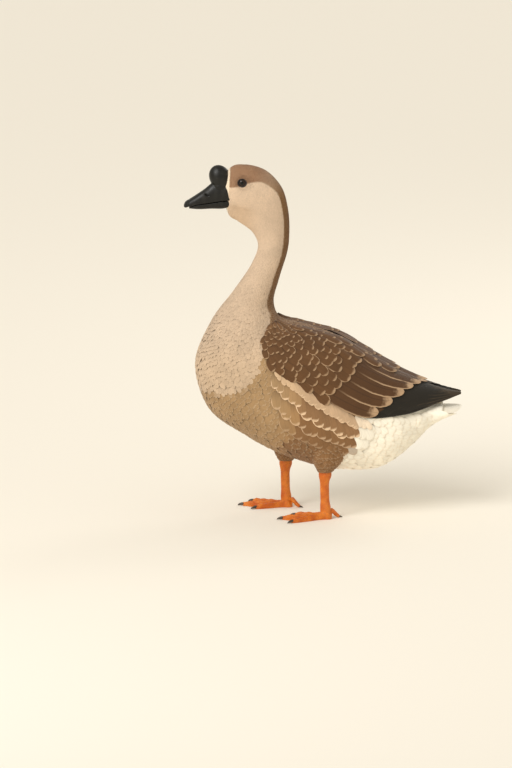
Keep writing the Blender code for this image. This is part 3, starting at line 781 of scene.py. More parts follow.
# At those rings, in thousandths of a metre
FEATHER_LENGTHS = np.array((3.6, 4.2, 5.4, 6.6, 7.6, 8.4, 9.4, 11, 14,
                            19, 25, 31, 36, 39, 40, 40, 38, 36)) / 1000
FEATHER_HALF_WIDTHS = np.array((1.0, 1.1, 1.3, 1.5, 1.6, 1.7, 1.9, 2.4, 3.3,
                                4.8, 6.4, 8, 9, 10, 11, 12, 12, 11)) / 1000
ROW_SPACING = 0.44  # of a feather's length, from one row to the next
SIDE_SPACING = 1.45  # of a feather's half width, from one feather to the next
# A vane's cross-section: places from side to side, -1 to 1, in order round it, and their heights as a share
# of its thickness
FINE_SECTION = ((-1, 0, 1), (0, 1, 0))
BROAD_SECTION = ((-1, -0.55, 0, 0.55, 1, 0), (0, 0.7, 1, 0.7, 0, -0.4))
# A vane's outline: places from root to tip, 0 to 1, and the half width there
FINE_OUTLINE = ((0, 0.35, 0.66, 0.88), (0.45, 0.95, 1.0, 0.62))
BROAD_OUTLINE = ((0, 0.18, 0.38, 0.58, 0.76, 0.90, 0.975), (0.30, 0.72, 0.95, 1.0, 0.92, 0.66, 0.32))
BROAD_STOPS = np.array([*BROAD_OUTLINE[0], 1.0])
ROOT_DEPTH = 0.85  # how deep in the coat a root lies, as a share of the coat's depth
BODY_CAMBER = 0.04
DOWNWARD_TURN = math.radians(26)  # how far the side feathers of the breast and belly turn down
NEAR_EYE_SIZE = 0.55  # size of the feathers beside the lids, as a share of the others
BILL_BACK = -0.2320  # the face's feathers stop ahead of this y, and above this height, inside the bill
BILL_FLOOR = 0.777
HIDDEN_RINGS = (9.2, 15.3)  # the folded wing hides feathers between these rings
HIDDEN_BELOW = 12  # and this many degrees inside its lower and its upper edge
HIDDEN_ABOVE = 7
ONE_TURN = 6.2832
BARB_CONTRAST = 0.03
EYE_CLEARANCE = (1.24, 1.22, 1.20)  # least distance from the eye of a vane's root, middle and tip
# Side of a vane's square in the bake map
BAKE_PATCH = 0.003
BAKE_COVERT = 0.012
BAKE_FLANK = 0.04
BAKE_TAIL = 0.045
BAKE_FLIGHT = 0.1


def lie(surface, t, angle):
    """How a point of a surface moves with t and with angle, and the outward normal there."""
    step = 0.03
    along = (surface(t + step, angle) - surface(t - step, angle)) / (2 * step)
    around = (surface(t, angle + step) - surface(t, angle - step)) / (2 * step)
    return along, around, unit(np.cross(along, around))


def steps_for(along, around, move):
    """The changes of t and angle that make a small move in the surface, by least squares."""
    aa, ar, rr = (along * along).sum(-1), (along * around).sum(-1), (around * around).sum(-1)
    ma, mr = (move * along).sum(-1), (move * around).sum(-1)
    scale = np.maximum(aa * rr - ar * ar, 1e-14)
    return (ma * rr - mr * ar) / scale, (mr * aa - ma * ar) / scale


def middle_lines(surface, t, angle, length, turn, stops):
    """Each vane's middle line as rows of t and angle, walked from its root along the lie of the surface,
    turned from it by an angle, positive to the left of the way it points."""
    lines = [(t, angle)]
    for step in np.diff(stops):
        along, around, normal = lie(surface, t, angle)
        ahead = unit(along)
        aside = np.cross(normal, ahead)
        move = (ahead * np.cos(turn)[:, None] + aside * np.sin(turn)[:, None]) * (length * step)[:, None]
        more_t, more_angle = steps_for(along, around, move)
        t, angle = t + more_t, angle + more_angle
        lines.append((t, angle))
    return np.stack([line[0] for line in lines], 1), np.stack([line[1] for line in lines], 1)


def vanes(surface, t, angle, half_width, lift, outline, section, thick, camber, colours, edging, bake_at,
          bake_patch=BAKE_PATCH):
    """Closed vanes along middle lines. t, angle and lift have a row for each vane and a column for each
    place of the outline, and one more for the tip, which half_width doesn't have. Across a vane the surface's
    own curve is followed, and its sides droop by camber times the square of the distance from its middle."""
    places = np.array(outline)
    across, crest = np.array(section, float)
    count, rows, columns = len(t), len(places), len(across)
    along, around, normal = lie(surface, t, angle)
    path = np.gradient(surface(t, angle), axis=1)
    aside = unit(np.cross(normal, path))
    wide = half_width[..., None] * across
    move = aside[:, :rows, None] * wide[..., None]
    more_t, more_angle = steps_for(along[:, :rows, None], around[:, :rows, None], move)
    flesh = surface(t[:, :rows, None] + more_t, angle[:, :rows, None] + more_angle)
    high = lift[:, :rows, None] + thick * crest - camber * np.abs(wide * across)
    flesh = flesh + normal[:, :rows, None] * high[..., None]
    tip = surface(t[:, rows], angle[:, rows]) + normal[:, rows] * lift[:, rows, None]
    points = np.concatenate([flesh.reshape(count, -1, 3), tip[:, None]], 1)

    quads, _ = closed_round(rows, columns)
    ring = np.arange(columns)
    last = (rows - 1) * columns
    end = np.stack([last + ring, np.full(columns, rows * columns), last + (ring + 1) % columns], -1)
    root = np.stack([np.zeros(columns - 2, int), ring[1:-1], ring[2:]], -1)
    start = (np.arange(count) * points.shape[1])[:, None, None]
    side_share = np.broadcast_to((across + 1) / 2, (rows, columns)).ravel()
    vane = np.column_stack([np.append(side_share, 0.5), np.append(np.repeat(places, columns), 1.0)])
    bake = bake_at[:, None] + (vane - 0.5) * bake_patch
    return {
        "points": points.reshape(-1, 3),
        "quads": (start + quads).reshape(-1, 4),
        "triangles": (start + np.vstack([root, end])).reshape(-1, 3),
        "vane": np.tile(vane, (count, 1)),
        "bake": bake.reshape(-1, 2),
        "colours": np.repeat(colours, points.shape[1], 0),
        "edging": np.repeat(np.broadcast_to(edging, (count,)), points.shape[1]),
    }


def for_side(patches, mirror):
    """Vanes laid on the left side, as they are or mirrored for the right."""
    if mirror > 0:
        return patches
    return [patch | {"points": patch["points"] * (-1, 1, 1), "quads": patch["quads"][:, ::-1],
                     "triangles": patch["triangles"][:, ::-1]} for patch in patches]


def feathered(name, patches, finish):
    """One object of several patches of vanes, with their colours and their two UV maps."""
    starts = np.cumsum([0] + [len(patch["points"]) for patch in patches])
    whole = {key: np.concatenate([patch[key] for patch in patches])
             for key in ("points", "vane", "bake", "colours", "edging")}
    quads, triangles = (np.concatenate([patch[key] + start for patch, start in zip(patches, starts)])
                        for key in ("quads", "triangles"))
    obj = made(name, whole["points"], quads, triangles, (finish,))
    painted(obj, whole["colours"], whole["edging"])
    corners = np.concatenate([quads.ravel(), triangles.ravel()])
    for layer, key in (("OFBake", "bake"), ("Vane", "vane")):
        places = whole[key][corners].astype(np.float32).ravel()
        obj.data.uv_layers.new(name=layer).uv.foreach_set("vector", places)
    obj.data.set_sharp_from_angle(angle=math.radians(55))
    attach(obj, "root")
    return obj


def plumage_finish(name, edge_colour, barbs, shaft, roughness=0.72, root_down_and_shade=0.72):
    """Feather: its own colour, darker towards the root by root_down_and_shade (partly the grey down at its
    base, partly painted shade under the feathers over it), with a paler border where it has one, a shaft, and
    fine barbs slanting from the shaft to the edge."""
    finish, tree, shader = material(name, roughness, 0.25, Sheen_Weight=0.12, Sheen_Roughness=0.5)
    plumage = node(tree, "Attribute", attribute_name="Plumage")
    vane = node(tree, "SeparateXYZ", {0: node(tree, "UVMap", uv_map="Vane").outputs[0]})
    side = math_node(tree, "ABSOLUTE", math_node(tree, "MULTIPLY_ADD", vane.outputs[0], 2.0, -1.0))
    place = object_place(tree)
    uneven = noise(tree, place, 90.0)
    wander = math_node(tree, "MULTIPLY", math_node(tree, "SUBTRACT", uneven, 0.5), 0.16)
    tip = math_node(tree, "ADD", vane.outputs[1], wander)
    flank = math_node(tree, "ADD", math_node(tree, "POWER", side, 1.4), wander)
    sides = math_node(tree, "MULTIPLY", ramp(tree, flank, 0.70, 0.92), ramp(tree, vane.outputs[1], 0.25, 0.6))
    border = math_node(tree, "MAXIMUM", ramp(tree, tip, 0.84, 0.95), sides)
    edged = blend(tree, math_node(tree, "MULTIPLY", border, plumage.outputs["Alpha"]),
                  plumage.outputs["Color"], rgba(edge_colour))
    # Darker towards the root: partly the grey down at a feather's base, partly painted shade under the
    # feathers that overlap it
    depth = ramp(tree, vane.outputs[1], 0.0, 0.55, root_down_and_shade, 1.0)
    shaded = node(tree, "VectorMath", {0: edged, "Scale": depth}, operation="SCALE").outputs[0]
    line = math_node(tree, "MULTIPLY", ramp(tree, side, 0.10, 0.02), shaft)
    lined = blend(tree, line, shaded, blend(tree, 0.5, shaded, rgba((30, 22, 16))))
    broad = ramp(tree, noise(tree, place, 16.0, 2.0), 0.3, 0.7, 0.93, 1.06)
    slant = math_node(tree, "SUBTRACT", math_node(tree, "MULTIPLY", vane.outputs[1], barbs * ONE_TURN),
                      math_node(tree, "MULTIPLY", side, barbs * 1.3))
    comb = math_node(tree, "SINE", slant)
    combed = math_node(tree, "MULTIPLY_ADD", comb, BARB_CONTRAST, 1.0)
    tone = math_node(tree, "MULTIPLY", combed, broad)
    final = node(tree, "VectorMath", {0: lined, "Scale": tone}, operation="SCALE").outputs[0]
    tree.links.new(final, shader.inputs["Base Color"])
    bumped(tree, shader, comb, 0.25, 0.00025)
    return finish


def staggered(surface, t_range, angle_range, spacing_along, spacing_round, chance):
    """Roots in staggered rows. Rows lie a spacing apart as measured along the surface's sides, and roots a
    spacing apart along each row."""
    t = np.linspace(*t_range, 500)
    samples = surface(t[:, None], np.linspace(*angle_range, 24)[None, :])
    step = np.linalg.norm(np.diff(samples, axis=0, prepend=samples[:1]), axis=-1).mean(1)
    passed = np.cumsum(step / spacing_along(t))
    rows = np.interp(np.arange(0.3, passed[-1]), passed, t)
    found = []
    for number, row in enumerate(rows):
        angle = np.linspace(*angle_range, 300)
        ring = surface(np.full_like(angle, row), angle)
        length = np.cumsum(np.linalg.norm(np.diff(ring, axis=0, prepend=ring[:1]), axis=1))
        count = max(round(length[-1] / spacing_round(row)), 1)
        order = np.arange(count) + 0.25 + 0.5 * (number % 2) + chance.uniform(-0.12, 0.12, count)
        at = order / count * length[-1]
        stray = (chance.uniform(-0.3, 0.3, count)
                 * np.interp(row, t, spacing_along(t) / np.maximum(step, 1e-6)) * (t[1] - t[0]))
        found.append((row + stray, np.interp(at, length, angle)))
    return np.concatenate([pair[0] for pair in found]), np.concatenate([pair[1] for pair in found])


def feather_length(t):
    return np.interp(t, BODY_RINGS, FEATHER_LENGTHS)


def feather_half_width(t):
    return np.interp(t, BODY_RINGS, FEATHER_HALF_WIDTHS)


def coat_depth(t):
    return np.interp(t, COAT_RINGS, COAT_DEPTHS)


# The folded wing's rings: as the body's, then the angles of its lower and upper edges, and its thickness
WING = {
    "wrist": (-0.112, 0.503, -0.310, 0.405, 0.0880, 0.47, 2.1, 48, 66, 0.020),
    "withers": (-0.102, 0.494, -0.317, 0.374, 0.0970, 0.47, 2.1, 34, 71, 0.024),
    "shoulder": (-0.050, 0.480, -0.292, 0.281, 0.1180, 0.47, 2.15, 16, 75, 0.028),
    "back": (0.028, 0.454, -0.195, 0.203, 0.1270, 0.47, 2.2, 12, 78, 0.030),
    "loin": (0.107, 0.405, -0.075, 0.144, 0.1270, 0.47, 2.2, 10, 80, 0.030),
    "hips": (0.163, 0.370, 0.043, 0.116, 0.1150, 0.48, 2.15, 9, 82, 0.028),
    "rump": (0.212, 0.346, 0.150, 0.124, 0.0920, 0.50, 2.1, 14, 83, 0.022),
    "tail_head": (0.262, 0.330, 0.235, 0.190, 0.0620, 0.55, 2.1, 8, 83, 0.012),
    "tail_root": (0.302, 0.320, 0.290, 0.245, 0.0370, 0.60, 2.1, 5, 80, 0.008),
    "wing_tip": (0.3460, 0.3125, 0.3450, 0.299, 0.0130, 0.60, 2.1, 0, 75, 0.006),
}
WING_ROWS = carried(list(WING.values()), RING_STEPS)
WING_RING = {name: number for number, name in enumerate(WING)}


def wing_columns(t):
    return at_ring(WING_ROWS, t)


def under_wing(t, angle):
    """True where the folded wing hides the body's feathers, well inside its edges."""
    low, high = wing_columns(t - RING["withers"] + WING_RING["withers"])[7:9]
    degrees = np.degrees(np.arcsin(np.clip(np.sin(angle), -1, 1)))
    inside = (degrees > low + HIDDEN_BELOW) & (degrees < high - HIDDEN_ABOVE)
    return (t > HIDDEN_RINGS[0]) & (t < HIDDEN_RINGS[1]) & inside


def eye_reach(point):
    """Distance from the nearer eye's middle seen from the side, 1 at the lid's edge. Points near the
    middle plane count as far away."""
    away = np.abs(point) - np.abs(EYE_CENTRE)
    side = np.hypot((point[..., 1] - EYE_CENTRE[1]) / LID_HALF_LENGTH, away[..., 2] / LID_HALF_HEIGHT)
    return np.where(np.abs(point[..., 0]) > 0.012, side, 9.0)


def in_bill(point):
    """True for points inside the bill or the knob."""
    rows = carried(UPPER_BILL, 6)[::-1]
    high, low, wide = (np.interp(point[..., 1], rows[:, 0], rows[:, column]) for column in (1, 3, 4))
    x, y, z = point[..., 0], point[..., 1], point[..., 2]
    height = (z - low) / (high - low)
    widest = wide * np.sqrt(np.clip(1 - np.clip(height - 0.2, 0, 1) ** 2 / 0.64, 0, 1))
    bill = (y < BILL_BACK) & (np.abs(x) < widest) & (z > BILL_FLOOR) & (z < high)
    off = point - KNOB_CENTRE
    upright_y, upright_z = turned(off[..., 1], off[..., 2], -KNOB_LEAN)
    ball = ((off[..., 0] / KNOB_RADII[0]) ** 2 + (upright_y / KNOB_RADII[1]) ** 2
            + (upright_z / KNOB_RADII[2]) ** 2)
    return bill | (ball < 0.97)


def body_coat(name, t_range, outline, section, thick, seed, finish, keep=None):
    """Contour feathers over a length of the body."""
    chance = np.random.default_rng(seed)
    t, angle = staggered(on_body, t_range, (-math.pi / 2, 1.5 * math.pi),
                         lambda at: feather_length(at) * ROW_SPACING,
                         lambda at: feather_half_width(at) * SIDE_SPACING, chance)
    root = on_body(t, angle)
    near_eye = NEAR_EYE_SIZE + (1 - NEAR_EYE_SIZE) * smooth(1.3, 3.0, eye_reach(root))
    length = feather_length(t) * chance.uniform(0.88, 1.12, len(t)) * near_eye
    half = feather_half_width(t) * chance.uniform(0.9, 1.1, len(t)) * near_eye
    side = np.sign(np.cos(angle))
    downward = smooth(9.5, 11.5, t) * smooth(-0.75, -0.1, np.sin(angle)) * (np.sin(angle) < 0.5)
    turn = side * (-DOWNWARD_TURN * downward) + chance.normal(0, math.radians(5), len(t))
    stops = np.array([*outline[0], 1.0])
    half_way = len(stops) // 2
    line_t, line_angle = middle_lines(on_body, t, angle, length, turn, stops)
    middle = on_body(line_t[:, half_way], line_angle[:, half_way])
    tip = on_body(line_t[:, -1], line_angle[:, -1])
    kept = ~in_bill(root) & ~under_wing(t, angle)
    for place, clearance in zip((root, middle, tip), EYE_CLEARANCE):
        kept &= eye_reach(place) > clearance
    if keep is not None:
        kept &= keep(root)
    line_t, line_angle, half, length = line_t[kept], line_angle[kept], half[kept], length[kept]
    t, angle = t[kept], angle[kept]
    depth = coat_depth(t)[:, None]
    rise = 0.0002 + (0.022 - 0.012 * smooth(13, 15, t[:, None])) * length[:, None]
    lift = (-ROOT_DEPTH * depth * (1 - stops) ** 2.2 + rise * stops
            + chance.uniform(-0.05, 0.05, len(t))[:, None] * depth)
    colours = markings(middle[kept], line_t[:, half_way], line_angle[:, half_way])
    colours = colours * chance.normal(1, 0.035, (len(t), 1))
    bake_at = np.stack([(t - t_range[0]) / (t_range[1] - t_range[0]) * 0.97 + 0.015,
                        (angle + math.pi / 2) / (2 * math.pi) * 0.97 + 0.015], -1)
    patch = vanes(on_body, line_t, line_angle, half[:, None] * outline[1], lift, outline[0], section, thick,
                  BODY_CAMBER, colours, 0.25, bake_at)
    return feathered(name, [patch], finish)


soft_feather = plumage_finish("soft_feather", (238, 214, 182), 22, 0.15)
body_coat("feathers_head", (0.02, 3.5), FINE_OUTLINE, FINE_SECTION, 0.00035, 11, soft_feather)
body_coat("feathers_neck", (3.5, 8.0), FINE_OUTLINE, FINE_SECTION, 0.00045, 12, soft_feather)
body_coat("feathers_breast", (8.0, 11.0), BROAD_OUTLINE, BROAD_SECTION, 0.0005, 13, soft_feather)
body_coat("feathers_belly", (11.0, 15.0), BROAD_OUTLINE, BROAD_SECTION, 0.0006, 14, soft_feather)
body_coat("feathers_stern", (15.0, 16.9), BROAD_OUTLINE, BROAD_SECTION, 0.0005, 15,
          plumage_finish("stern_feather", WHITE, 24, 0.1, 0.72, 0.92),
          lambda root: (root[:, 2] < 0.262) | (root[:, 1] < 0.264))

# Feathers of the thighs
# Short brown feathers that run down each thigh and end as a soft cuff over the top of the scaly shank.

THIGH_RINGS = (0, 1, 2, 3, 4)
THIGH_LENGTHS = (0.030, 0.028, 0.024, 0.017, 0.011)
THIGH_HALF_WIDTHS = (0.0075, 0.0072, 0.0060, 0.0042, 0.0028)
THIGH_CAMBER = 0.10
THIGH_ROWS = carried(np.array(THIGH)[:, [0, 1, 0, 1, 2, 3]], RING_STEPS)[:, [0, 1, 4, 5]]


def on_thigh(side, mirror):
    """The thigh's outline as a surface: level ellipses at ring number t."""
    def surface(t, angle, lift=0.0):
        back, height, wide, deep = at_ring(THIGH_ROWS, t)
        return np.stack(np.broadcast_arrays(mirror * LEG_SPREAD + (wide + lift) * np.cos(angle),
                                            FOOT_Y[side] + back + (deep + lift) * np.sin(angle), height), -1)
    return surface


def thigh_coat(side, mirror, seed, finish):
    """One thigh's feathers, from near its top to the cuff."""
    chance = np.random.default_rng(seed)
    surface = on_thigh(side, mirror)
    t, angle = staggered(surface, (0.6, 3.75), (0, 2 * math.pi),
                         lambda at: np.interp(at, THIGH_RINGS, THIGH_LENGTHS) * ROW_SPACING,
                         lambda at: np.interp(at, THIGH_RINGS, THIGH_HALF_WIDTHS) * SIDE_SPACING, chance)
    length = np.interp(t, THIGH_RINGS, THIGH_LENGTHS) * chance.uniform(0.85, 1.15, len(t))
    half = np.interp(t, THIGH_RINGS, THIGH_HALF_WIDTHS) * chance.uniform(0.9, 1.1, len(t))
    line_t, line_angle = middle_lines(surface, t, angle, length, chance.normal(0, 0.10, len(t)), BROAD_STOPS)
    depth = np.interp(t, (0, 3, 4), (THIGH_COAT, THIGH_COAT, THIGH_COAT * 0.5))[:, None]
    lift = -ROOT_DEPTH * depth * (1 - BROAD_STOPS) + 0.0012 * BROAD_STOPS
    colours = linear(THIGH_BROWN) * chance.normal(1.0, 0.05, (len(t), 1))
    bake_at = np.stack([t / 4 * 0.97 + 0.015, angle / (2 * math.pi) * 0.97 + 0.015], -1)
    patch = vanes(surface, line_t, line_angle, half[:, None] * BROAD_OUTLINE[1], lift, BROAD_OUTLINE[0],
                  BROAD_SECTION, 0.0006, THIGH_CAMBER, colours, 0.2, bake_at)
    feathered(f"feathers_thigh_{side}", [patch], finish)


for seed, (side, mirror) in enumerate(SIDES, 21):
    thigh_coat(side, mirror, seed, soft_feather)

# Wings
# Each folded wing is a bed of flesh and down, under black primaries, long brown secondaries and tertials
# with pale edges, rows of scalloped coverts that grow from the shoulder back, and scapulars that hang from
# the back over its upper edge.

WING_PROUD = 0.013
WING_EDGE = 0.003
WING_BED = 0.0030  # how far the bed lies under the wing's outline
WING_BED_RINGS = (0.04, 8.35)
COVERT_HALF = 0.66  # a covert's half width, as a share of the rows' spacing
COVERT_SIDE = 0.92  # from one covert to the next in its row, as a share of the same
COVERT_CAMBER = 0.12
OVER_LONG = 0.0056  # how far coverts rise to lie over the long feathers, at the wing's upper edge
FLIGHT_CAMBER = 0.02
COVERT_RINGS = (0, 1, 2, 3, 4)
COVERT_SPACING = (0.0085, 0.011, 0.0165, 0.023, 0.028)
SCAPULAR_SPACING = (0.012, 0.014, 0.020, 0.027, 0.032)
# Long feathers, from the upper edge down: how far up the wing each lies, and the ring where it ends
TERTIALS = ((0.93, 6.95), (0.78, 6.62), (0.62, 6.28), (0.45, 5.92), (0.28, 5.56), (0.11, 5.22))
# Primaries: how far up the wing each lies at its root and at its tip, and the ring where it ends
PRIMARIES = ((0.90, 0.90, 7.35), (0.76, 0.80, 7.80), (0.62, 0.72, 8.20), (0.48, 0.64, 8.50),
             (0.34, 0.56, 8.75), (0.20, 0.48, 8.92), (0.07, 0.40, 9.0))
FLIGHT_OUTLINE = ((0, 0.10, 0.25, 0.42, 0.58, 0.72, 0.83, 0.91, 0.96, 0.988),
                  (0.40, 0.70, 0.88, 0.97, 1.0, 0.96, 0.86, 0.68, 0.48, 0.26))
FLIGHT_SECTION = ((-1, -0.7, -0.35, -0.05, 0.05, 0.35, 0.7, 1, 0.4, -0.4),
                  (0, 0.4, 0.6, 1, 1, 0.6, 0.4, 0, -0.3, -0.3))
FLIGHT_STOPS = np.array([*FLIGHT_OUTLINE[0], 1.0])


def on_wing(t, s, lift=0.0):
    """The folded left wing's outer face at ring number t, s of the way from its lower edge to its upper
    one: the ring's outline, raised between its edges by 1 minus the fourth power of the distance from
    the middle. Past the upper edge it comes down to the back."""
    columns = wing_columns(t)
    low, high, thick = columns[7:]
    bulge = np.clip(1 - np.abs(2 * s - 1) ** 4, 0, 1)
    proud = (WING_EDGE + (WING_PROUD - WING_EDGE) * bulge) * np.clip(thick / 0.024, 0.25, 1)
    beyond = smooth(0.97, 1.06, s)
    return ring_point(columns[:7], np.radians(low + (high - low) * s),
                      proud * (1 - beyond) + lift * (1 - 0.6 * beyond))


def wing_colour(t, s):
    """Paler brown at the shoulder and darker towards the rear."""
    rear = smooth(0.5, 2.2, t + 0.6 * (1 - s))[..., None]
    end = smooth(3.2, 5.5, t)[..., None]
    colour = linear(WING_FRONT) * (1 - rear) + linear(WING_BROWN) * rear
    return colour * (1 - end) + linear(WING_REAR) * end


def wing_bed(side, mirror, finish):
    """The wing's own body: a closed surface through an outer arc and an inner one, ring by ring."""
    t = np.linspace(*WING_BED_RINGS, 104)[:, None]
    s = np.linspace(0.02, 0.98, 30)[None, :]
    outer = on_wing(t, s, -np.minimum(WING_BED, 0.3 * wing_columns(t)[9]))
    low, high, thick = wing_columns(t)[7:]
    inside = s[:, ::-3]
    inner = ring_point(wing_columns(t)[:7], np.radians(low + (high - low) * inside),
                       -0.8 * np.minimum(thick, 0.012))
    rings = np.concatenate([outer, inner], 1)
    rings[..., 0] = np.maximum(rings[..., 0], 0.0005) * mirror
    points, quads, triangles = lofted(rings if mirror > 0 else rings[:, ::-1])
    obj = made(f"wing_bed_{side}", points, quads, triangles, (finish,))
    border = np.interp(points[:, 2], (0.24, 0.33), (0.060, 0.292))
    black = smooth(-0.035, -0.020, points[:, 1] - border)[:, None]
    painted(obj, linear(WING_BROWN) * (1 - black) + linear(FLIGHT_BLACK) * black)
    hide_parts(f"wing_{side}", f"primaries_{side}")
    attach(obj, "root")


def covert_patch(t_range, s_range, spacings, longer, turn, high, chance, edging):
    """Rows of rounded feathers over part of the wing, each lying over the roots of the row behind."""
    def spacing(at):
        return np.interp(at, COVERT_RINGS, spacings)

    t, s = staggered(on_wing, t_range, s_range, spacing, lambda at: spacing(at) * COVERT_SIDE, chance)
    length = spacing(t) * longer * chance.uniform(0.93, 1.07, len(t))
    half = spacing(t) * COVERT_HALF * chance.uniform(0.95, 1.05, len(t))
    line_t, line_s = middle_lines(on_wing, t, s, length, turn + chance.normal(0, 0.05, len(t)), BROAD_STOPS)
    rise = (0.0008 + 0.07 * spacing(t))[:, None]
    over_long = OVER_LONG * np.clip(line_s, 0, 1) * smooth(2.4, 3.4, line_t)
    lift = high + over_long + rise * (BROAD_STOPS - 0.6) + chance.uniform(0, 0.0003, len(t))[:, None]
    colours = wing_colour(line_t[:, 4], line_s[:, 4]) * chance.normal(1, 0.05, (len(t), 1))
    bake_at = np.stack([t / 6 * 0.9 + 0.05, np.clip(s, 0, 1.15) / 1.15 * 0.92 + 0.04], -1)
    return vanes(on_wing, line_t, line_s, half[:, None] * BROAD_OUTLINE[1], lift, BROAD_OUTLINE[0],
                 BROAD_SECTION, 0.0008, COVERT_CAMBER, colours, edging, bake_at, BAKE_COVERT)


def flight_patch(rows, root_ring, half_width, high, step, colour, edging, bake_row, pointed=1.0):
    """Long feathers laid side by side, each under the one above it."""
    start, end, ring = np.array(rows).T[:, :, None]
    line_t = root_ring + (ring - root_ring) * FLIGHT_STOPS
    line_s = start + (end - start) * FLIGHT_STOPS**1.5
    arc = np.linalg.norm(on_wing(line_t, 0.75) - on_wing(line_t, 0.25), axis=-1)[:, :-1]
    half = np.minimum(half_width * np.array(FLIGHT_OUTLINE[1]) ** pointed, 0.62 * arc)
    order = np.arange(len(rows))[::-1, None]
    lift = high + step * order + 0.0006 * FLIGHT_STOPS
    colours = np.broadcast_to(linear(colour), (len(rows), 3)) * (1 - 0.03 * order)
    bake_at = np.stack([np.linspace(0.08, 0.92, len(rows)), np.full(len(rows), bake_row)], -1)
    return vanes(on_wing, line_t, line_s, half, lift, FLIGHT_OUTLINE[0], FLIGHT_SECTION, 0.0008,
                 FLIGHT_CAMBER, colours, edging, bake_at, BAKE_FLIGHT)


covert_feather = plumage_finish("covert_feather", (184, 152, 118), 34, 0.2)
flight_feather = plumage_finish("flight_feather", (186, 154, 120), 110, 0.5, 0.6)


def wing_coat(side, mirror, seed):
    """All of one wing's feathers, laid on the left and mirrored for the right."""
    chance = np.random.default_rng(seed)
    coverts = [covert_patch((0.02, 3.45), (0.02, 0.98), COVERT_SPACING, 2.1, -0.10, 0.0022, chance, 0.85),
               covert_patch((0.05, 4.3), (0.84, 1.10), SCAPULAR_SPACING, 2.7, -0.16, 0.0042, chance, 0.7)]
    long_rows = [(s, s, ring) for s, ring in TERTIALS]
    flight = [flight_patch(long_rows, 3.0, 0.0215, 0.0008, 0.0011, WING_REAR, 1.0, 0.25),
              flight_patch(PRIMARIES, 4.4, 0.0150, -0.0026, 0.0006, FLIGHT_BLACK, 0.08, 0.75, 0.8)]
    feathered(f"feathers_coverts_{side}", for_side(coverts, mirror), covert_feather)
    feathered(f"feathers_flight_{side}", for_side(flight, mirror), flight_feather)
    wing_bed(side, mirror, soft_feather)


for seed, (side, mirror) in enumerate(SIDES, 31):
    wing_coat(side, mirror, seed)

# Flank feathers
# Broad brown feathers with cream edges that fan down and back from under the wing in overlapping rows. A
# short row of cream ones lies uppermost, along the wing's lower edge.

FLANK_EDGE = (236, 204, 168)
FLANK_CAMBER = 0.05
# Rows, from the lowest up: first and last ring of the roots, number of feathers, degrees below the wing's
# edge, length, half width, turn downwards, share of cream in the colour, and strength of the pale edges
FLANK_ROWS = ((11.1, 12.7, 11, 24, 0.056, 0.0155, 0.85, 0.0, 0.35),
              (10.7, 12.9, 15, 13, 0.060, 0.0165, 0.90, 0.0, 0.6),
              (10.35, 12.95, 18, 3, 0.062, 0.0165, 0.95, 0.05, 1.0),
              (10.3, 12.95, 26, -1, 0.038, 0.0098, 0.75, 0.55, 1.0))


def flank_coat(side, mirror, seed, finish):
    """All the rows, laid on the left with the front feathers over the rear ones, and mirrored for the
    right."""
    chance = np.random.default_rng(seed)
    patches = []
    for number, (start, end, count, below, length, half, turn, cream, edging) in enumerate(FLANK_ROWS):
        t = np.linspace(start, end, count) + chance.uniform(-0.03, 0.03, count)
        low = wing_columns(t - RING["withers"] + WING_RING["withers"])[7]
        angle = np.radians(low - below + chance.uniform(-1.2, 1.2, count))
        size = np.interp(t, (10.3, 11.2, 12.3, 13.0), (0.55, 1.0, 1.0, 0.7))
        size = size * chance.uniform(0.93, 1.07, count)
        turns = chance.normal(-turn, 0.05, count)
        line_t, line_angle = middle_lines(on_body, t, angle, length * size, turns, BROAD_STOPS)
        colours = markings(on_body(line_t[:, 3], line_angle[:, 3]), line_t[:, 3], line_angle[:, 3])
        colours = (colours * (1 - cream) + linear(FLANK_EDGE) * cream) * chance.normal(1, 0.04, (count, 1))
        lift = (0.0008 + 0.0008 * number + 0.0022 * (BROAD_STOPS - 0.4)
                + np.linspace(0.0012, 0, count)[:, None])
        bake_at = np.stack([np.linspace(0.06, 0.94, count), np.full(count, 0.2 + 0.2 * number)], -1)
        patches.append(vanes(on_body, line_t, line_angle, (half * size)[:, None] * BROAD_OUTLINE[1], lift,
                             BROAD_OUTLINE[0], BROAD_SECTION, 0.0009, FLANK_CAMBER, colours,
                             edging * (1 - smooth(0.5, 0.8, colours[:, 0])), bake_at, BAKE_FLANK))
    feathered(f"feathers_flank_{side}", for_side(patches, mirror), finish)


flank_feather = plumage_finish("flank_feather", FLANK_EDGE, 34, 0.15)
for seed, (side, mirror) in enumerate(SIDES, 41):
    flank_coat(side, mirror, seed, flank_feather)

# Tail
# Eighteen stiff cream-white feathers in a shallow fan, the middle pair on top, out of the tail coverts.

TAIL_FROM = (0.205, 0.270)  # (y, z) of the fan's root
TAIL_TO = (0.3465, 0.2690)
TAIL_FEATHERS = 18
TAIL_SHADE = (246, 236, 216)
TAIL_CAMBER = 0.06


def on_tail(t, v, lift=0.0):
    """A shallow arched fan: t runs from its root to its tip and v from its left edge to its right one."""
    half = np.interp(t, (0, 0.4, 0.75, 1.0), (0.016, 0.034, 0.053, 0.054))
    arch = np.interp(t, (0, 1), (0.012, 0.004)) * (1 - v**2) - 0.002
    return np.stack(np.broadcast_arrays(-v * half, TAIL_FROM[0] + (TAIL_TO[0] - TAIL_FROM[0]) * t,
                                        TAIL_FROM[1] + (TAIL_TO[1] - TAIL_FROM[1]) * t + arch + lift), -1)


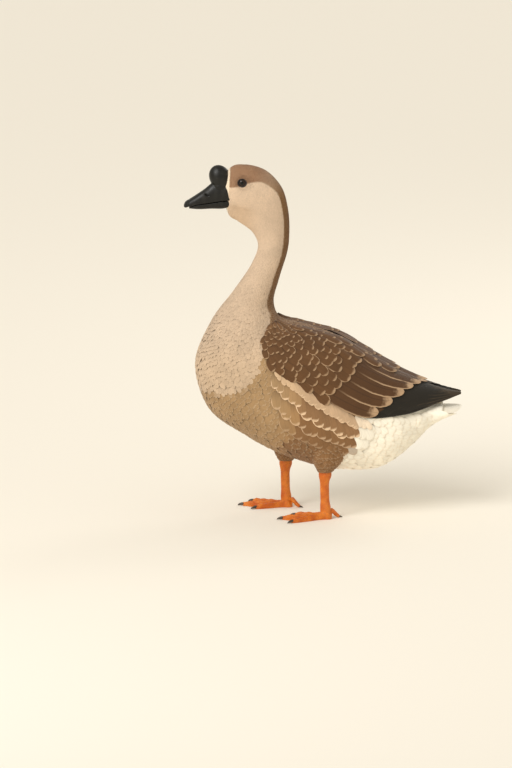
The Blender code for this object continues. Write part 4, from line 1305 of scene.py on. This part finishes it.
def tail_fan():
    """The fan's feathers, shorter and lower towards its sides."""
    v = np.linspace(-0.88, 0.88, TAIL_FEATHERS)[:, None]
    line_t = (1 - 0.12 * v**2) * FLIGHT_STOPS
    half = 0.0115 * np.array(FLIGHT_OUTLINE[1]) ** 0.7 * np.ones_like(v)
    share = np.abs(v)
    lift = np.broadcast_to(0.0028 * (1 - share), line_t.shape)
    colours = linear(WHITE) * (1 - share) + linear(TAIL_SHADE) * share
    bake_at = np.stack([np.linspace(0.05, 0.95, TAIL_FEATHERS), np.full(TAIL_FEATHERS, 0.5)], -1)
    patch = vanes(on_tail, line_t, np.broadcast_to(v, line_t.shape), half, lift, FLIGHT_OUTLINE[0],
                  FLIGHT_SECTION, 0.0008, TAIL_CAMBER, colours, 0.0, bake_at, BAKE_TAIL)
    feathered("feathers_tail", [patch], plumage_finish("tail_feather", WHITE, 90, 0.2, 0.65))


tail_fan()

# Claws
# Short dark horn on each front toe, curved down to the floor, and a small one on each hind toe.

CLAW_LENGTH = 0.012
# A front claw's reach as a share of its length, its height and its radius
CLAW_SHAPE = ((-0.75, 0.0050, 0.0030), (-0.2, 0.0056, 0.0036), (0, 0.0052, 0.0036),
              (0.35, 0.0047, 0.0031), (0.7, 0.0035, 0.0022), (1, 0.0017, 0.0008))
# A hind claw's x, y, z and radius
HIND_CLAW = ((-0.0103, 0.0350, 0.0040, 0.0028), (-0.0107, 0.0385, 0.0034, 0.0021),
             (-0.0115, 0.0440, 0.0017, 0.0007))


def claw_finish():
    """Dark horn with browner growth lines round it."""
    finish, tree, shader = material("claw_horn", 0.34, 0.5)
    place = object_place(tree)
    drawn = node(tree, "Mapping", {"Vector": place, "Scale": (300, 1400, 300)}).outputs[0]
    lines = noise(tree, drawn, 1.0)
    tree.links.new(blend(tree, ramp(tree, lines, 0.35, 0.7), rgba((48, 40, 34)), rgba((84, 70, 56))),
                   shader.inputs["Base Color"])
    bumped(tree, shader, lines, 0.3, 0.0002)
    return finish


claw_horn = claw_finish()
for side, mirror in SIDES:
    for toe, (heading, length) in TOES.items():
        heading = math.radians(heading)
        route = [((length + reach * CLAW_LENGTH) * math.sin(heading),
                  -(length + reach * CLAW_LENGTH) * math.cos(heading), height, radius)
                 for reach, height, radius in CLAW_SHAPE]
        route = resampled(route, 14)
        rings = tube(foot_to_place(route[:, :3], side, mirror), route[:, 3], 18)
        rings[..., 2] = np.maximum(rings[..., 2], SOLE)
        claw = made(f"claw_horn_{side}_{toe}", *lofted(rings), (claw_horn,))
        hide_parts(f"claw_{side}_{toe}")
        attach(claw, "root")
    route = resampled(HIND_CLAW, 12)
    rings = tube(foot_to_place(route[:, :3], side, mirror), route[:, 3], 16)
    hind = made(f"claw_horn_{side}_hind", *lofted(rings), (claw_horn,))
    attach(hind, "root")

# Floor, light and camera
# A pale floor under soft studio light, seen from the left and a little above through a long lens.

FLOOR_HALF = 150.0
CAMERA_AIM = (0.0, -0.1675, 0.329)
CAMERA_DISTANCE = 25.6
CAMERA_LENS = 480


def floor():
    half = FLOOR_HALF
    points = [(-half, -half, 0), (half, -half, 0), (half, half, 0), (-half, half, 0)]
    finish, _, shader = material("floor_paint", 0.85, 0.2)
    shader.inputs["Base Color"].default_value = rgba((246, 240, 228))
    return made("floor", points, [(0, 1, 2, 3)], np.empty((0, 3), int), (finish,))


def aimed(obj, place, aim):
    """Puts an object at a place and turns its -Z towards the aim."""
    back = unit(np.asarray(place, float) - np.asarray(aim, float))
    side = unit(np.cross((0, 0, 1.0), back))
    up = np.cross(back, side)
    turn = np.column_stack([side, up, back, place])
    obj.matrix_world = Matrix([*turn.tolist(), (0, 0, 0, 1)])
    bpy.context.scene.collection.objects.link(obj)


def soft_light(name, place, size, watts, colour):
    lamp = bpy.data.lights.new(name, "AREA")
    lamp.shape = "DISK"
    lamp.size = size
    lamp.energy = watts
    lamp.color = colour
    aimed(bpy.data.objects.new(name, lamp), place, CAMERA_AIM)


floor()
sky = bpy.data.lights.new("window", "SUN")
sky.energy = 1.35
sky.angle = math.radians(35)
aimed(bpy.data.objects.new("window", sky), (3.0, -2.4, 3.6), CAMERA_AIM)
soft_light("key", (2.6, -2.2, 2.2), 1.2, 22, (1.0, 0.97, 0.93))
soft_light("rim", (-2.4, 2.0, 2.2), 1.4, 16, (1.0, 0.98, 0.95))
world = bpy.data.worlds.new("studio")
world.use_nodes = True
world.node_tree.nodes["Background"].inputs["Color"].default_value = rgba((250, 244, 232))
world.node_tree.nodes["Background"].inputs["Strength"].default_value = 0.70
bpy.context.scene.world = world
bpy.context.scene.view_settings.view_transform = "Standard"

lens = bpy.data.cameras.new("camera")
lens.lens = CAMERA_LENS
lens.sensor_width = 36
lens.clip_end = 400
camera = bpy.data.objects.new("camera", lens)
away = CAMERA_DISTANCE * np.array((math.cos(VIEW_TILT), 0, math.sin(VIEW_TILT)))
aimed(camera, np.array(CAMERA_AIM) + away, CAMERA_AIM)
bpy.context.scene.camera = camera
